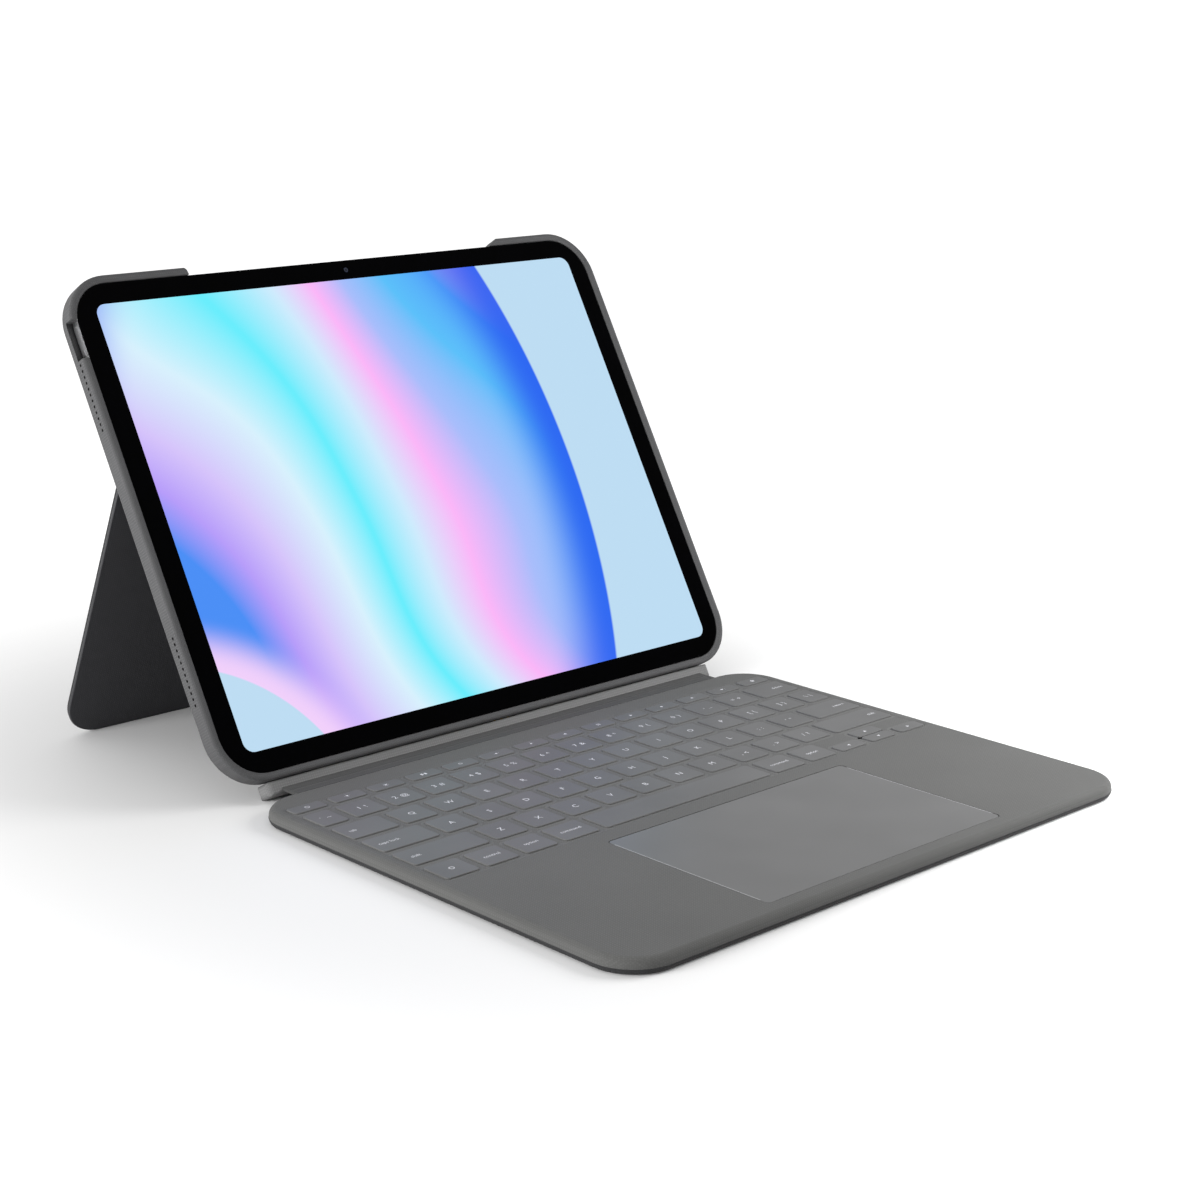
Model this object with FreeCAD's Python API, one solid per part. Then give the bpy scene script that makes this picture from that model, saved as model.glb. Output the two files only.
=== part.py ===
import FreeCAD, Part
import math
import os
from FreeCAD import Placement, Rotation, Vector

# Tablet keyboard case, standing open: a tray that grips a tablet and leans back on
# a kickstand, and a keyboard deck that hangs on it by a fabric strip and a magnetic bar.
# Millimetres. X runs along the width, +Y goes from the typist to the back, +Z is up.
# The origin is on the table, in the middle of the whole object's footprint.

# ---- the tablet that the case is made for
tablet_width = 283.0
tablet_height = 215.5
tablet_thickness = 6.1
tablet_corner = 18.0
glass_thickness = 0.7
display_thickness = 1.2
display_border = 9.7
display_border_top = 9.2
housing_wall = 1.0
housing_rim = 2.4
housing_round = 1.2
glass_round = 0.3
camera_radius = 9.5
camera_proud = 1.4
camera_round = 0.4
lens_radius = 5.0
lens_depth = 0.3
button_depth = 1.6          # of a button, inwards from its face

# ---- the tray
lean = 30.0                 # degrees that the tray leans back from upright
tablet_clearance = 0.35
side_wall = 3.65
end_wall = 3.2
lip_rise = 0.9              # how far the rim stands above the glass
lip_bevel = 1.6
lining_thickness = 0.5
back_thickness = 1.3
seat_gap = 0.1              # tablet to lining
speaker_radius = 0.65
speaker_pitch = 2.61
speaker_count = 12
speaker_start = 45.35       # first hole from the tray's middle height
speaker_depth = 2.6         # below the glass
port_length = 14.0
port_height = 5.7
port_cover = 0.9            # of the wall left over the port, below the glass
camera_opening = 28.0
camera_inset = 26.0         # camera centre from the tablet's two edges
camera_corner = 9.0
ring_wall = 2.2
stylus_gap_left = 81.5
stylus_gap_right = 87.0
button_notch_down = 18.1    # from the tray's top edge to the notch
button_notch_length = 17.2
shell_back_round = 2.0
lip_round = 1.2
port_round = 1.0
notch_floor = 3.0           # below the glass, at the tray's side
notch_slope = 2.8           # that much deeper at the tablet

# ---- the kickstand and its hinges
hinge_height = 135.0        # from the tray's bottom edge
panel_thickness = 2.4
panel_inset = 3.2           # back panels from the tray's outline
panel_gap = 0.2             # kickstand to tray back
skin_thickness = 0.3
foot_gap = 0.7              # closed kickstand above the tray's bottom edge
pin_radius = 0.6
pin_clearance = 0.03
hinge_width = 30.0
hinge_inset = 67.5          # hinge centre from the tray's side
leaf_length = 16.0
knuckle_gap = 0.2
swing_gap = 0.35            # kickstand barrel to the panel above it
panel_edge_round = 1.0
bevel_rise = 3.2            # the panel's slanted edge above the hinge, going up its face
bevel_share = 0.75          # of the panel's depth that the slant takes
leaf_thickness = 1.0
leaf_end_gap = 0.9          # kickstand's barrel to the leaf let into it
kickstand_magnet_radius = 6.0
kickstand_magnet_inset = 34.0
kickstand_magnet_up = 14.0

# ---- the connector bar and the strip
bar_width = 255.0
bar_thickness = 6.2
bar_gap = 0.3               # bar to tray
bar_front_gap = 0.6         # bar's front face behind the glass plane
bar_round = 1.5
bar_end_round = 3.0
bar_end_corner = 2.4        # seen from the front
bar_rear_step = 1.2         # bar's back face in from the tray's back
pin_hole_depth = 3.2
pin_length = 3.3
strip_width = 241.0
strip_thickness = 1.4
strip_drop = 1.0            # strip's mid-plane below the deck's top
strip_pitch = 6.8           # between the strip's two fold lines
strip_end_gap = 0.4
fold_offset = 0.1           # rear fold line in front of the glass plane
deck_end_gap = 0.3          # front fold line behind the deck

# ---- the keyboard deck
deck_margin = 0.8           # deck wider than the tablet, each side
deck_short = 4.9            # deck shallower than the tray is tall
deck_height = 6.2
deck_corner = 19.0
deck_wall = 1.6
base_height = 2.2
floor_thickness = 1.0
cover_thickness = 1.6
cover_round = 3.0
base_round = 1.9
well_depth = 0.3
well_margin = 2.0           # key block to the edge of the well

# ---- keys
key_side_margin = 6.5       # deck's side to the key block
key_back_margin = 15.1
key_gap = 3.7
row_pitch = 18.6
key_depth = row_pitch - key_gap
half_key_depth = 7.0
cells_per_row = 14.19       # letter keys that one row is long
key_rise = 0.3              # key tops above the deck
key_skirt = 2.5
key_wall = 1.0
key_travel = 1.0
key_corner = 1.5
key_edge_round = 0.35
arrow_split = 0.8           # between the up and down keys
key_clearance = 0.3
function_count = 14

# ---- inside the deck
plate_thickness = 0.4
membrane_thickness = 0.3
sheet_thickness = 0.4
rib_width = 2.0
block_border = 3.0          # support plate beyond the key block
stop_clearance = 0.1
dome_radius = 2.4
dome_share = 0.17           # of a key's depth, where that is smaller
dome_taper = 0.7
guide_width = 0.7
board_side = 8.0            # trackpad to the circuit board
board_width = 42.0
board_thickness = 0.8
board_start = 0.3           # shares of the palm rest's depth
board_end = 0.62
chip_inset = 9.0
chips = ((6.0, 10.0), (22.0, 7.0), (32.0, 5.0))     # place along the board and size
flex_width = 12.0
flex_thickness = 0.15
flex_place = 91.0

# ---- trackpad
trackpad_width = 133.6
trackpad_front = 8.4        # deck's front edge to the trackpad
trackpad_to_keys = 11.1
trackpad_corner = 2.0
trackpad_clearance = 0.35
trackpad_thickness = 0.8
trackpad_sink = 0.05
pad_board_thickness = 0.6
pad_board_inset = 2.8
trackpad_travel = 0.25
pad_edge_round = 0.15
bracket_rim = 4.2           # bracket's outline beyond the trackpad
bracket_hollow = 0.6
bracket_floor = 0.5
switch_height = 0.4
switch_radii = (4.0, 2.2)

# ---- magnets and contacts
magnet_length = 18.0
magnet_height = 5.0
magnet_thickness = 1.6
magnet_places = (30.0, 62.0, 94.0)
deck_magnet_inset = 24.0
deck_magnet_front = 12.0
deck_magnet_depth = 6.0
deck_magnet_height = 2.0
contact_pitch = 4.0
contact_radius = 0.8
contact_inset = 12.0        # tablet's contacts from its bottom edge

# ---- buttons on the tablet
button_travel = 0.3
button_proud = 0.3
button_height = 2.4
power_length = 13.0
volume_length = 11.0
volume_places = (-117.0, -101.0)
cap_clearance = 0.2

# ---- worked out from the sizes above: the tray's own frame has x along the width,
# ---- y up the tray from its bottom edge, z out of the screen from the glass
case_half = tablet_width / 2 + tablet_clearance + side_wall
case_height = tablet_height + 2 * tablet_clearance + 2 * end_wall
case_middle = case_height / 2
tablet_low = end_wall + tablet_clearance
tablet_high = tablet_low + tablet_height
lining_top = -tablet_thickness - seat_gap
lining_bottom = lining_top - lining_thickness
button_notch_high = case_height - button_notch_down
button_notch_low = button_notch_high - button_notch_length
tray_back = lining_bottom - back_thickness
panel_half = case_half - panel_inset
panel_outer = tray_back - panel_gap - panel_thickness
hinge_depth = tray_back - panel_gap - panel_thickness / 2
barrel_radius = panel_thickness / 2
core_thickness = panel_thickness - 2 * skin_thickness
case_corner = tablet_corner + tablet_clearance + side_wall
camera_x = -tablet_width / 2 + camera_inset
camera_y = tablet_high - camera_inset
hinge_x = case_half - hinge_inset
kickstand_length = hinge_height - foot_gap

near = 1e-6
sin_lean = math.sin(math.radians(lean))
cos_lean = math.cos(math.radians(lean))

# the bar's rounded rear edge rests on the table and carries the tray
bar_low = -bar_gap - bar_thickness
bar_back = tray_back - bar_rear_step
case_z = -(bar_low + bar_round) * cos_lean - (bar_back + bar_round) * sin_lean + bar_round

# the kickstand's rounded foot rests on the table too, which sets how far it is open
hinge_z = case_z + hinge_height * cos_lean + hinge_depth * sin_lean
foot_round = core_thickness / 2
foot_angle = math.degrees(math.acos((hinge_z - foot_round) / (kickstand_length - foot_round)))
kickstand_opening = lean + foot_angle

# fold lines, from the tray's bottom edge to the deck
fold_z = deck_height - strip_drop
rear_fold_up = (fold_z - case_z - fold_offset * sin_lean) / cos_lean
rear_fold_y = rear_fold_up * sin_lean - fold_offset * cos_lean
deck_width = tablet_width + 2 * deck_margin
deck_depth = case_height - deck_short
skin_end = kickstand_length - 0.6
foot_y = hinge_height * sin_lean - hinge_depth * cos_lean
foot_y += skin_end * math.sin(math.radians(foot_angle))
foot_y += barrel_radius * math.cos(math.radians(foot_angle))
total_depth = deck_depth + deck_end_gap + strip_pitch - rear_fold_y + foot_y
deck_front = -total_depth / 2
front_fold = deck_front + deck_depth + deck_end_gap
case_y = front_fold + strip_pitch - rear_fold_y

# key block
deck_half = deck_width / 2
block_half = deck_half - key_side_margin
key_unit = (2 * block_half + key_gap) / cells_per_row
block_back = deck_depth - key_back_margin
block_front = block_back - 5 * row_pitch - half_key_depth
key_top = deck_height + key_rise
skirt_z = key_top - key_skirt
trackpad_back = block_front - trackpad_to_keys
plate_z = base_height
membrane_z = plate_z + plate_thickness
membrane_top = membrane_z + membrane_thickness
ceiling_pressed = key_top - key_wall - key_travel

# key rows: a name and a width in letter-key cells, or None for what is left of the row
ROWS = (
    ("number_keys", 0.825), ("number_keys", 1.0), 11, ("key_delete", None),
    ("key_tab", 1.345), ("qwerty_keys", 1.0), 11, ("key_backslash", None),
    ("key_caps_lock", 1.593), ("asdf_keys", 1.0), 10, ("key_return", None),
    ("key_left_shift", 2.067), ("zxcv_keys", 1.0), 9, ("key_right_shift", None),
)
BOTTOM_ROW = (
    ("modifier_keys", 1.0), ("modifier_keys", 1.0), ("modifier_keys", 1.0),
    ("key_left_command", 1.108), ("key_space", 4.974), ("key_right_command", 1.108),
    ("modifier_keys", 1.0),
)


def rounded_outline(x0, x1, y0, y1, z, radius):
    """A closed wire: a rectangle with round corners at height z."""
    turn = radius * (1 - math.sqrt(0.5))
    points = []
    for cx, cy, sx, sy in ((x1, y0, 1, -1), (x1, y1, 1, 1), (x0, y1, -1, 1), (x0, y0, -1, -1)):
        along_x = Vector(cx - sx * radius, cy, z)
        middle = Vector(cx - sx * turn, cy - sy * turn, z)
        along_y = Vector(cx, cy - sy * radius, z)
        order = (along_x, middle, along_y) if sx * sy < 0 else (along_y, middle, along_x)
        points.append(order)
    edges = []
    for number, (start, middle, end) in enumerate(points):
        edges.append(Part.Arc(start, middle, end).toShape())
        edges.append(Part.LineSegment(end, points[(number + 1) % 4][0]).toShape())
    return Part.Wire(edges)


def plate(x0, x1, y0, y1, z0, z1, radius):
    """A flat solid with round corners, from z0 up to z1."""
    face = Part.Face(rounded_outline(x0, x1, y0, y1, z0, radius))
    return face.extrude(Vector(0, 0, z1 - z0))


def box(x0, x1, y0, y1, z0, z1):
    return Part.makeBox(x1 - x0, y1 - y0, z1 - z0, Vector(x0, y0, z0))


def rod(x0, x1, y, z, radius):
    """A cylinder along X."""
    return Part.makeCylinder(radius, x1 - x0, Vector(x0, y, z), Vector(1, 0, 0))


def level_edges(shape, z):
    """The edges that lie wholly at height z."""
    return [e for e in shape.Edges if all(abs(v.Z - z) < near for v in e.Vertexes)]


def group(solids):
    return Part.makeCompound(solids)


def in_tray(shape):
    """Carry a shape from the tray's own frame to the standing pose."""
    placed = shape.copy()
    move = Placement(Vector(0, case_y, case_z), Rotation(Vector(1, 0, 0), 90 - lean))
    placed.Placement = move.multiply(placed.Placement)
    return placed


def swung(shape):
    """Carry a kickstand shape from closed to its open angle, then to the standing pose."""
    opened = shape.copy()
    opened.rotate(Vector(0, hinge_height, hinge_depth), Vector(1, 0, 0), kickstand_opening)
    return in_tray(opened)


def on_deck(shape):
    placed = shape.copy()
    placed.translate(Vector(0, deck_front, 0))
    return placed


def camera_prism(size, z0, z1):
    half = size / 2
    corner = camera_corner + (size - camera_opening) / 2
    return plate(camera_x - half, camera_x + half, camera_y - half, camera_y + half, z0, z1, corner)


# ---------------------------------------------------------------- tray
def tray_shell():
    body = plate(-case_half, case_half, 0, case_height, tray_back, lip_rise, case_corner)
    body = body.makeFillet(shell_back_round, level_edges(body, tray_back))
    body = body.makeFillet(lip_round, level_edges(body, lip_rise))
    inner_x = case_half - side_wall
    inner_r = case_corner - side_wall
    low, high = end_wall, case_height - end_wall
    body = body.cut(plate(-inner_x, inner_x, low, high, lining_bottom, lip_rise + 1, inner_r))
    wide = lip_bevel * (lip_rise + 0.2) / lip_rise
    mouth = Part.makeLoft([
        rounded_outline(-inner_x, inner_x, low, high, 0, inner_r),
        rounded_outline(-inner_x - wide, inner_x + wide, low - wide, high + wide,
                        lip_rise + 0.2, inner_r + wide)], True, True)
    body = body.cut(mouth)
    body = body.cut(camera_prism(camera_opening + 2 * ring_wall + 0.2, tray_back - 1, 0))
    body = body.cut(stylus_gap())
    body = body.cut(button_notch())
    port = box(inner_x - 1, case_half + 1, case_middle - port_length / 2,
               case_middle + port_length / 2, -port_cover - port_height, -port_cover)
    port_edges = [e for e in port.Edges if abs(e.Length - side_wall - 2) < near]
    body = body.cut(port.makeFillet(port_round, port_edges))
    holes = []
    for side in (-1, 1):
        for half in (-1, 1):
            for number in range(speaker_count):
                y = case_middle + half * (speaker_start + number * speaker_pitch)
                x0 = side * case_half - 1 if side < 0 else inner_x - 1
                holes.append(rod(x0, x0 + side_wall + 2, y, -speaker_depth, speaker_radius))
    body = body.cut(group(holes))
    body = body.cut(group([magnet(x, 0.15) for x in magnet_row()]))
    for x in contact_row():
        hole = Part.makeCylinder(contact_radius + 0.05, end_wall + 2,
                                 Vector(x, -1, contact_z()), Vector(0, 1, 0))
        body = body.cut(hole)
    half = flex_width / 2 + 0.2
    groove_floor = lining_bottom - flex_thickness - 0.05
    body = body.cut(box(-half, half, end_wall - 1.2, tablet_low + contact_inset + 3,
                        groove_floor, lining_bottom + 1))
    return body.cut(group([volume_cap(x, cap_clearance) for x in volume_places]))


def stylus_gap():
    """The open stretch of the top wall, with slanted ends."""
    low = tablet_high
    high = case_height + 1
    slope = 1.5
    points = [Vector(-stylus_gap_left, low, 0), Vector(stylus_gap_right, low, 0),
              Vector(stylus_gap_right + slope * (high - low), high, 0),
              Vector(-stylus_gap_left - 0.6 * (high - low), high, 0)]
    face = Part.Face(Part.makePolygon(points + points[:1]))
    return face.extrude(Vector(0, 0, lip_rise - tray_back + 4)).translated(Vector(0, 0, tray_back - 2))


def button_notch():
    """An opening in the left wall down to the tablet's power button, its floor sloping inwards."""
    outer = -case_half - 1
    inner = -case_half + side_wall + 0.5
    low = -notch_floor - notch_slope
    points = [Vector(outer, button_notch_low, lip_rise + 1),
              Vector(outer, button_notch_low, -notch_floor),
              Vector(inner, button_notch_low, low), Vector(inner, button_notch_low, lip_rise + 1)]
    face = Part.Face(Part.makePolygon(points + points[:1]))
    return face.extrude(Vector(0, button_notch_high - button_notch_low, 0))


def magnet_row():
    return [side * place for place in magnet_places for side in (-1, 1)]


def contact_row():
    return [contact_pitch * step for step in (-1, 0, 1)]


def contact_z():
    return -tablet_thickness / 2


def magnet(x, extra=0.0):
    """A magnet let into the tray's bottom wall from the inside."""
    half = magnet_length / 2 + extra
    top = end_wall + (1 if extra else 0)
    z = contact_z()
    return box(x - half, x + half, end_wall - magnet_thickness - extra, top,
               z - magnet_height / 2 - extra, z + magnet_height / 2 + extra)


def volume_cap(x, extra=0.0):
    half = volume_length / 2 + extra
    z = -tablet_thickness / 2
    low = tablet_high + button_proud + seat_gap - (2 * extra)
    high = case_height + 0.3 + extra * 5
    height = button_height / 2 + extra
    return plate_on_edge(x - half, x + half, low, high, z - height, z + height)


def plate_on_edge(x0, x1, y0, y1, z0, z1):
    """A small bar along X whose ends are round, seen from above the tray's top edge."""
    radius = (z1 - z0) / 2 - 0.01
    shape = box(x0, x1, y0, y1, z0, z1)
    return shape.makeFillet(radius, [e for e in shape.Edges if abs(e.Length - (y1 - y0)) < near])


def volume_caps():
    return group([volume_cap(x) for x in volume_places])


def tray_lining():
    x = case_half - side_wall - 0.15
    sheet = plate(-x, x, end_wall + 0.15, case_height - end_wall - 0.15, lining_bottom, lining_top,
                  case_corner - side_wall - 0.15)
    top_trim = box(-stylus_gap_left, stylus_gap_right, tablet_high, case_height, lining_bottom - 1, 0)
    sheet = sheet.cut(top_trim)
    sheet = sheet.cut(camera_prism(camera_opening + 2 * ring_wall + 0.6, lining_bottom - 1, 0))
    y = tablet_low + contact_inset
    window = box(-contact_pitch - 2, contact_pitch + 2, y - 2, y + 2, lining_bottom - 1, 0)
    return sheet.cut(window)


def upper_back_cover():
    low = hinge_height + barrel_radius + swing_gap
    high = case_height - panel_inset
    corner = case_corner - panel_inset
    cover = plate(-panel_half, panel_half, low - 60, high, panel_outer, tray_back, corner)
    cover = cover.makeFillet(panel_edge_round, level_edges(cover, panel_outer))
    cover = cover.cut(box(-case_half, case_half, low - 70, low, panel_outer - 1, tray_back + 1))
    slant_top = panel_outer + bevel_share * (tray_back - panel_outer)
    slant = [Vector(-case_half, low - 1, panel_outer - 1),
             Vector(-case_half, low + bevel_rise, panel_outer - 1),
             Vector(-case_half, low, slant_top), Vector(-case_half, low - 1, slant_top)]
    bevel = Part.Face(Part.makePolygon(slant + slant[:1])).extrude(Vector(2 * case_half, 0, 0))
    cover = cover.cut(bevel)
    cover = cover.cut(camera_prism(camera_opening + 2 * ring_wall + 0.2, panel_outer - 1, 0))
    for x in (-hinge_x, hinge_x):
        half = hinge_width / 2 + knuckle_gap
        cover = cover.cut(box(x - half, x + half, low - 1, low + leaf_length,
                              hinge_depth + 0.05, tray_back + 1))
    return cover


def camera_ring():
    proud = 0.15
    outer = camera_prism(camera_opening + 2 * ring_wall, panel_outer - proud, lining_bottom)
    outer = outer.makeFillet(0.5, level_edges(outer, panel_outer - proud))
    return outer.cut(camera_prism(camera_opening, panel_outer - 1, 0))


def knuckle(x0, x1, web_y, web_z0, web_z1):
    """One hinge knuckle with the web that joins it to its leaf, without its bore."""
    barrel = rod(x0, x1, hinge_height, hinge_depth, barrel_radius)
    low, high = sorted((hinge_height, web_y))
    return barrel.fuse(box(x0, x1, low, high, web_z0, web_z1))


def pin_bore(x):
    half = hinge_width / 2 + 1
    return rod(x - half, x + half, hinge_height, hinge_depth, pin_radius + pin_clearance)


def fixed_leaf(x):
    half = hinge_width / 2
    third = hinge_width / 6
    start = hinge_height + barrel_radius + swing_gap
    z1 = tray_back - panel_gap
    z0 = z1 - leaf_thickness
    leaf = box(x - half, x + half, start + 0.3, start + leaf_length - 0.3, z0, z1)
    for x0, x1 in ((x - half, x - third - knuckle_gap), (x + third + knuckle_gap, x + half)):
        leaf = leaf.fuse(knuckle(x0, x1, start + 0.4, z0, z1))
    return leaf.cut(pin_bore(x)).removeSplitter()


def moving_leaf(x):
    half = hinge_width / 2
    third = hinge_width / 6
    end = hinge_height - barrel_radius - leaf_end_gap
    z0 = panel_outer + skin_thickness
    z1 = z0 + core_thickness
    leaf = box(x - half, x + half, end - leaf_length, end, z0, z1)
    leaf = leaf.fuse(knuckle(x - third, x + third, end - 0.2, z0, z1))
    return leaf.cut(pin_bore(x)).removeSplitter()


def hinge_pin(x):
    half = hinge_width / 2
    return rod(x - half, x + half, hinge_height, hinge_depth, pin_radius)


def hinge_pair(maker):
    return group([maker(-hinge_x), maker(hinge_x)])


# ---------------------------------------------------------------- kickstand
def kickstand_blank(z0, z1, low, high):
    """The kickstand's outline: square at the hinge, round at the two foot corners."""
    corner = case_corner - panel_inset - 0.8
    blank = plate(-panel_half, panel_half, low, high + 60, z0, z1, corner)
    return blank.cut(box(-case_half, case_half, high, high + 70, z0 - 1, z1 + 1))


def kickstand_plate():
    z0 = panel_outer + skin_thickness
    z1 = z0 + core_thickness
    corner = case_corner - panel_inset - 0.8
    core = plate(-panel_half, panel_half, foot_gap, hinge_height + 60, z0, z1, corner)
    round_edges = foot_round - 0.02
    core = core.makeFillet(round_edges, level_edges(core, z0) + level_edges(core, z1))
    core = core.cut(box(-case_half, case_half, hinge_height, hinge_height + 70, z0 - 1, z1 + 1))
    core = core.fuse(rod(-panel_half, panel_half, hinge_height, hinge_depth, barrel_radius))
    for x in (-hinge_x, hinge_x):
        half = hinge_width / 2 + knuckle_gap
        low = hinge_height - barrel_radius - leaf_end_gap - leaf_length - 0.1
        core = core.cut(box(x - half, x + half, low, hinge_height + 3, z0 - 2, z1 + 2))
    for x in kickstand_magnet_places():
        core = core.cut(kickstand_magnet(x, 0.1))
    return core.removeSplitter()


def kickstand_magnet_places():
    return (kickstand_magnet_inset - panel_half, panel_half - kickstand_magnet_inset)


def kickstand_magnet(x, extra=0.0):
    z0 = panel_outer + skin_thickness
    return Part.makeCylinder(kickstand_magnet_radius + extra, core_thickness,
                             Vector(x, foot_gap + kickstand_magnet_up, z0))


def kickstand_skin(z0):
    return kickstand_blank(z0, z0 + skin_thickness, foot_gap + 0.6, hinge_height - barrel_radius - 1.0)


# ---------------------------------------------------------------- contacts and magnets
def edge_contact(x):
    """A contact through the tray's bottom wall, flush with its outer face."""
    return Part.makeCylinder(contact_radius, end_wall - 0.4, Vector(x, 0.1, contact_z()),
                             Vector(0, 1, 0))


def tablet_pin(x):
    z0 = lining_bottom - 0.02
    return Part.makeCylinder(contact_radius, -tablet_thickness - 0.02 - z0,
                             Vector(x, tablet_low + contact_inset, z0))


def contact_flex():
    low = lining_bottom - flex_thickness - 0.02
    half = flex_width / 2
    return box(-half, half, end_wall - 1.0, tablet_low + contact_inset + 2, low, low + flex_thickness)


# ---------------------------------------------------------------- bar and strip
def connector_bar():
    half = bar_width / 2
    front = -bar_front_gap
    bar = box(-half, half, bar_low, -bar_gap, bar_back, front)
    long_edges = [e for e in bar.Edges if abs(e.Length - bar_width) < near]
    bar = bar.makeFillet(bar_round, long_edges)
    ends = plate_on_edge_yz(half, bar_low, -bar_gap, bar_back, front)
    bar = bar.common(ends)
    bar = bar.common(plate(-half, half, bar_low, -bar_gap, bar_back, front, bar_end_corner))
    for x in magnet_row():
        bar = bar.cut(bar_magnet(x, 0.1))
    for x in contact_row():
        hole = Part.makeCylinder(contact_radius + 0.05, pin_hole_depth + bar_gap + 1,
                                 Vector(x, -bar_gap - pin_hole_depth, contact_z()), Vector(0, 1, 0))
        bar = bar.cut(hole)
    return bar


def plate_on_edge_yz(half, y0, y1, z0, z1):
    """A block whose ends are rounded off in the tray's x and z directions."""
    shape = box(-half, half, y0, y1, z0, z1)
    corner_edges = [e for e in shape.Edges if abs(e.Length - (y1 - y0)) < near]
    return shape.makeFillet(bar_end_round, corner_edges)


def bar_magnet(x, extra=0.0):
    half = magnet_length / 2 + extra
    z = contact_z() - 1.0
    top = -bar_gap - 0.05 + (1.0 if extra else 0)
    return box(x - half, x + half, -bar_gap - 0.05 - magnet_thickness - extra, top,
               z - magnet_height / 2 - extra, z + magnet_height / 2 + extra)


def pogo_pin(x):
    base = pin_hole_depth - 0.1
    return Part.makeCylinder(contact_radius, pin_length, Vector(x, -bar_gap - base, contact_z()),
                             Vector(0, 1, 0))


def strip_slab(half, thickness, extra_length=0.0):
    y0 = front_fold + strip_end_gap - extra_length
    y1 = front_fold + strip_pitch - strip_end_gap + extra_length
    return box(-half, half, y0, y1, fold_z - thickness / 2, fold_z + thickness / 2)


def hinge_strip():
    slab = strip_slab(strip_width / 2, strip_thickness)
    slot = strip_slab(flex_width / 2 + 0.1, flex_thickness + 0.1, 1.0)
    return slab.cut(slot.translated(Vector(flex_place, 0, 0)))


def strip_flex():
    return strip_slab(flex_width / 2, flex_thickness).translated(Vector(flex_place, 0, 0))


# ---------------------------------------------------------------- deck
def deck_base():
    base = plate(-deck_half, deck_half, 0, deck_depth, 0, base_height, deck_corner)
    base = base.makeFillet(base_round, level_edges(base, 0))
    inner = deck_half - deck_wall
    base = base.cut(plate(-inner, inner, deck_wall, deck_depth - deck_wall, floor_thickness,
                          base_height + 1, deck_corner - deck_wall))
    ribs = []
    notch = flex_width / 2 + 0.5
    for y in (block_front - block_border, block_back + block_border - rib_width):
        ribs.append(box(-block_half - block_border, flex_place - notch, y, y + rib_width,
                        floor_thickness, base_height))
        ribs.append(box(flex_place + notch, block_half + block_border, y, y + rib_width,
                        floor_thickness, base_height))
    for rib in ribs:
        base = base.fuse(rib)
    return base.removeSplitter()


def deck_top():
    cover = plate(-deck_half, deck_half, 0, deck_depth, base_height, deck_height, deck_corner)
    cover = cover.makeFillet(cover_round, level_edges(cover, deck_height))
    inner = deck_half - deck_wall
    cover = cover.cut(plate(-inner, inner, deck_wall, deck_depth - deck_wall, base_height - 1,
                            deck_height - cover_thickness, deck_corner - deck_wall))
    well_x = block_half + well_margin
    well = plate(-well_x, well_x, block_front - well_margin, block_back + well_margin,
                 deck_height - well_depth, deck_height + 1, key_corner + well_margin)
    cover = cover.cut(well)
    openings = [key_prism(spot, key_clearance, membrane_z, deck_height + 1)
                for spot in key_layout()]
    cover = cover.cut(group(openings))
    half = trackpad_width / 2 + trackpad_clearance
    return cover.cut(plate(-half, half, trackpad_front - trackpad_clearance,
                           trackpad_back + trackpad_clearance, base_height, deck_height + 1,
                           trackpad_corner + trackpad_clearance))


# ---------------------------------------------------------------- keys
def row_spots(row, y0, depth):
    """Places of one row's keys: name, left, right, front, back."""
    spots = []
    x = -block_half
    for name, cells in row:
        right = block_half if cells is None else x + cells * key_unit - key_gap
        spots.append((name, x, right, y0, y0 + depth))
        x = right + key_gap
    return spots


def unpacked_rows():
    """ROWS with each count turned into that many more keys like the one before it."""
    rows = [[]]
    for entry in ROWS:
        if isinstance(entry, int):
            rows[-1] += [rows[-1][-1]] * entry
            continue
        rows[-1].append(entry)
        if entry[1] is None:
            rows.append([])
    return [row for row in rows if row]


def key_layout():
    spots = []
    pitch = (2 * block_half + key_gap) / function_count
    function_row = [("function_keys", pitch / key_unit)] * function_count
    spots += row_spots(function_row, block_back - half_key_depth, half_key_depth)
    for number, row in enumerate(unpacked_rows()):
        spots += row_spots(row, block_front + (4 - number) * row_pitch, key_depth)
    spots += row_spots(BOTTOM_ROW, block_front, key_depth)
    half = (key_depth - arrow_split) / 2
    width = key_unit - key_gap
    right = block_half
    for name, step, low, high in (("key_arrow_right", 0, 0, half), ("key_arrow_down", 1, 0, half),
                                  ("key_arrow_up", 1, key_depth - half, key_depth),
                                  ("key_arrow_left", 2, 0, half)):
        x1 = right - step * key_unit
        spots.append((name, x1 - width, x1, block_front + low, block_front + high))
    return spots


def key_prism(spot, grow, z0, z1):
    x0, x1, y0, y1 = spot[1:]
    return plate(x0 - grow, x1 + grow, y0 - grow, y1 + grow, z0, z1, key_corner + grow)


def key_cap(spot):
    cap = key_prism(spot, 0, skirt_z, key_top)
    cap = cap.makeFillet(key_edge_round, level_edges(cap, key_top))
    return cap.cut(key_prism(spot, -key_wall, skirt_z - 1, key_top - key_wall))


def key_groups():
    groups = {}
    for spot in key_layout():
        groups.setdefault(spot[0], []).append(key_cap(spot))
    return groups


def rubber_dome(spot):
    x0, x1, y0, y1 = spot[1:]
    radius = min(dome_radius, dome_share * (y1 - y0))
    return Part.makeCone(radius, dome_taper * radius, ceiling_pressed - stop_clearance - membrane_top,
                         Vector((x0 + x1) / 2, (y0 + y1) / 2, membrane_top))


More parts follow.
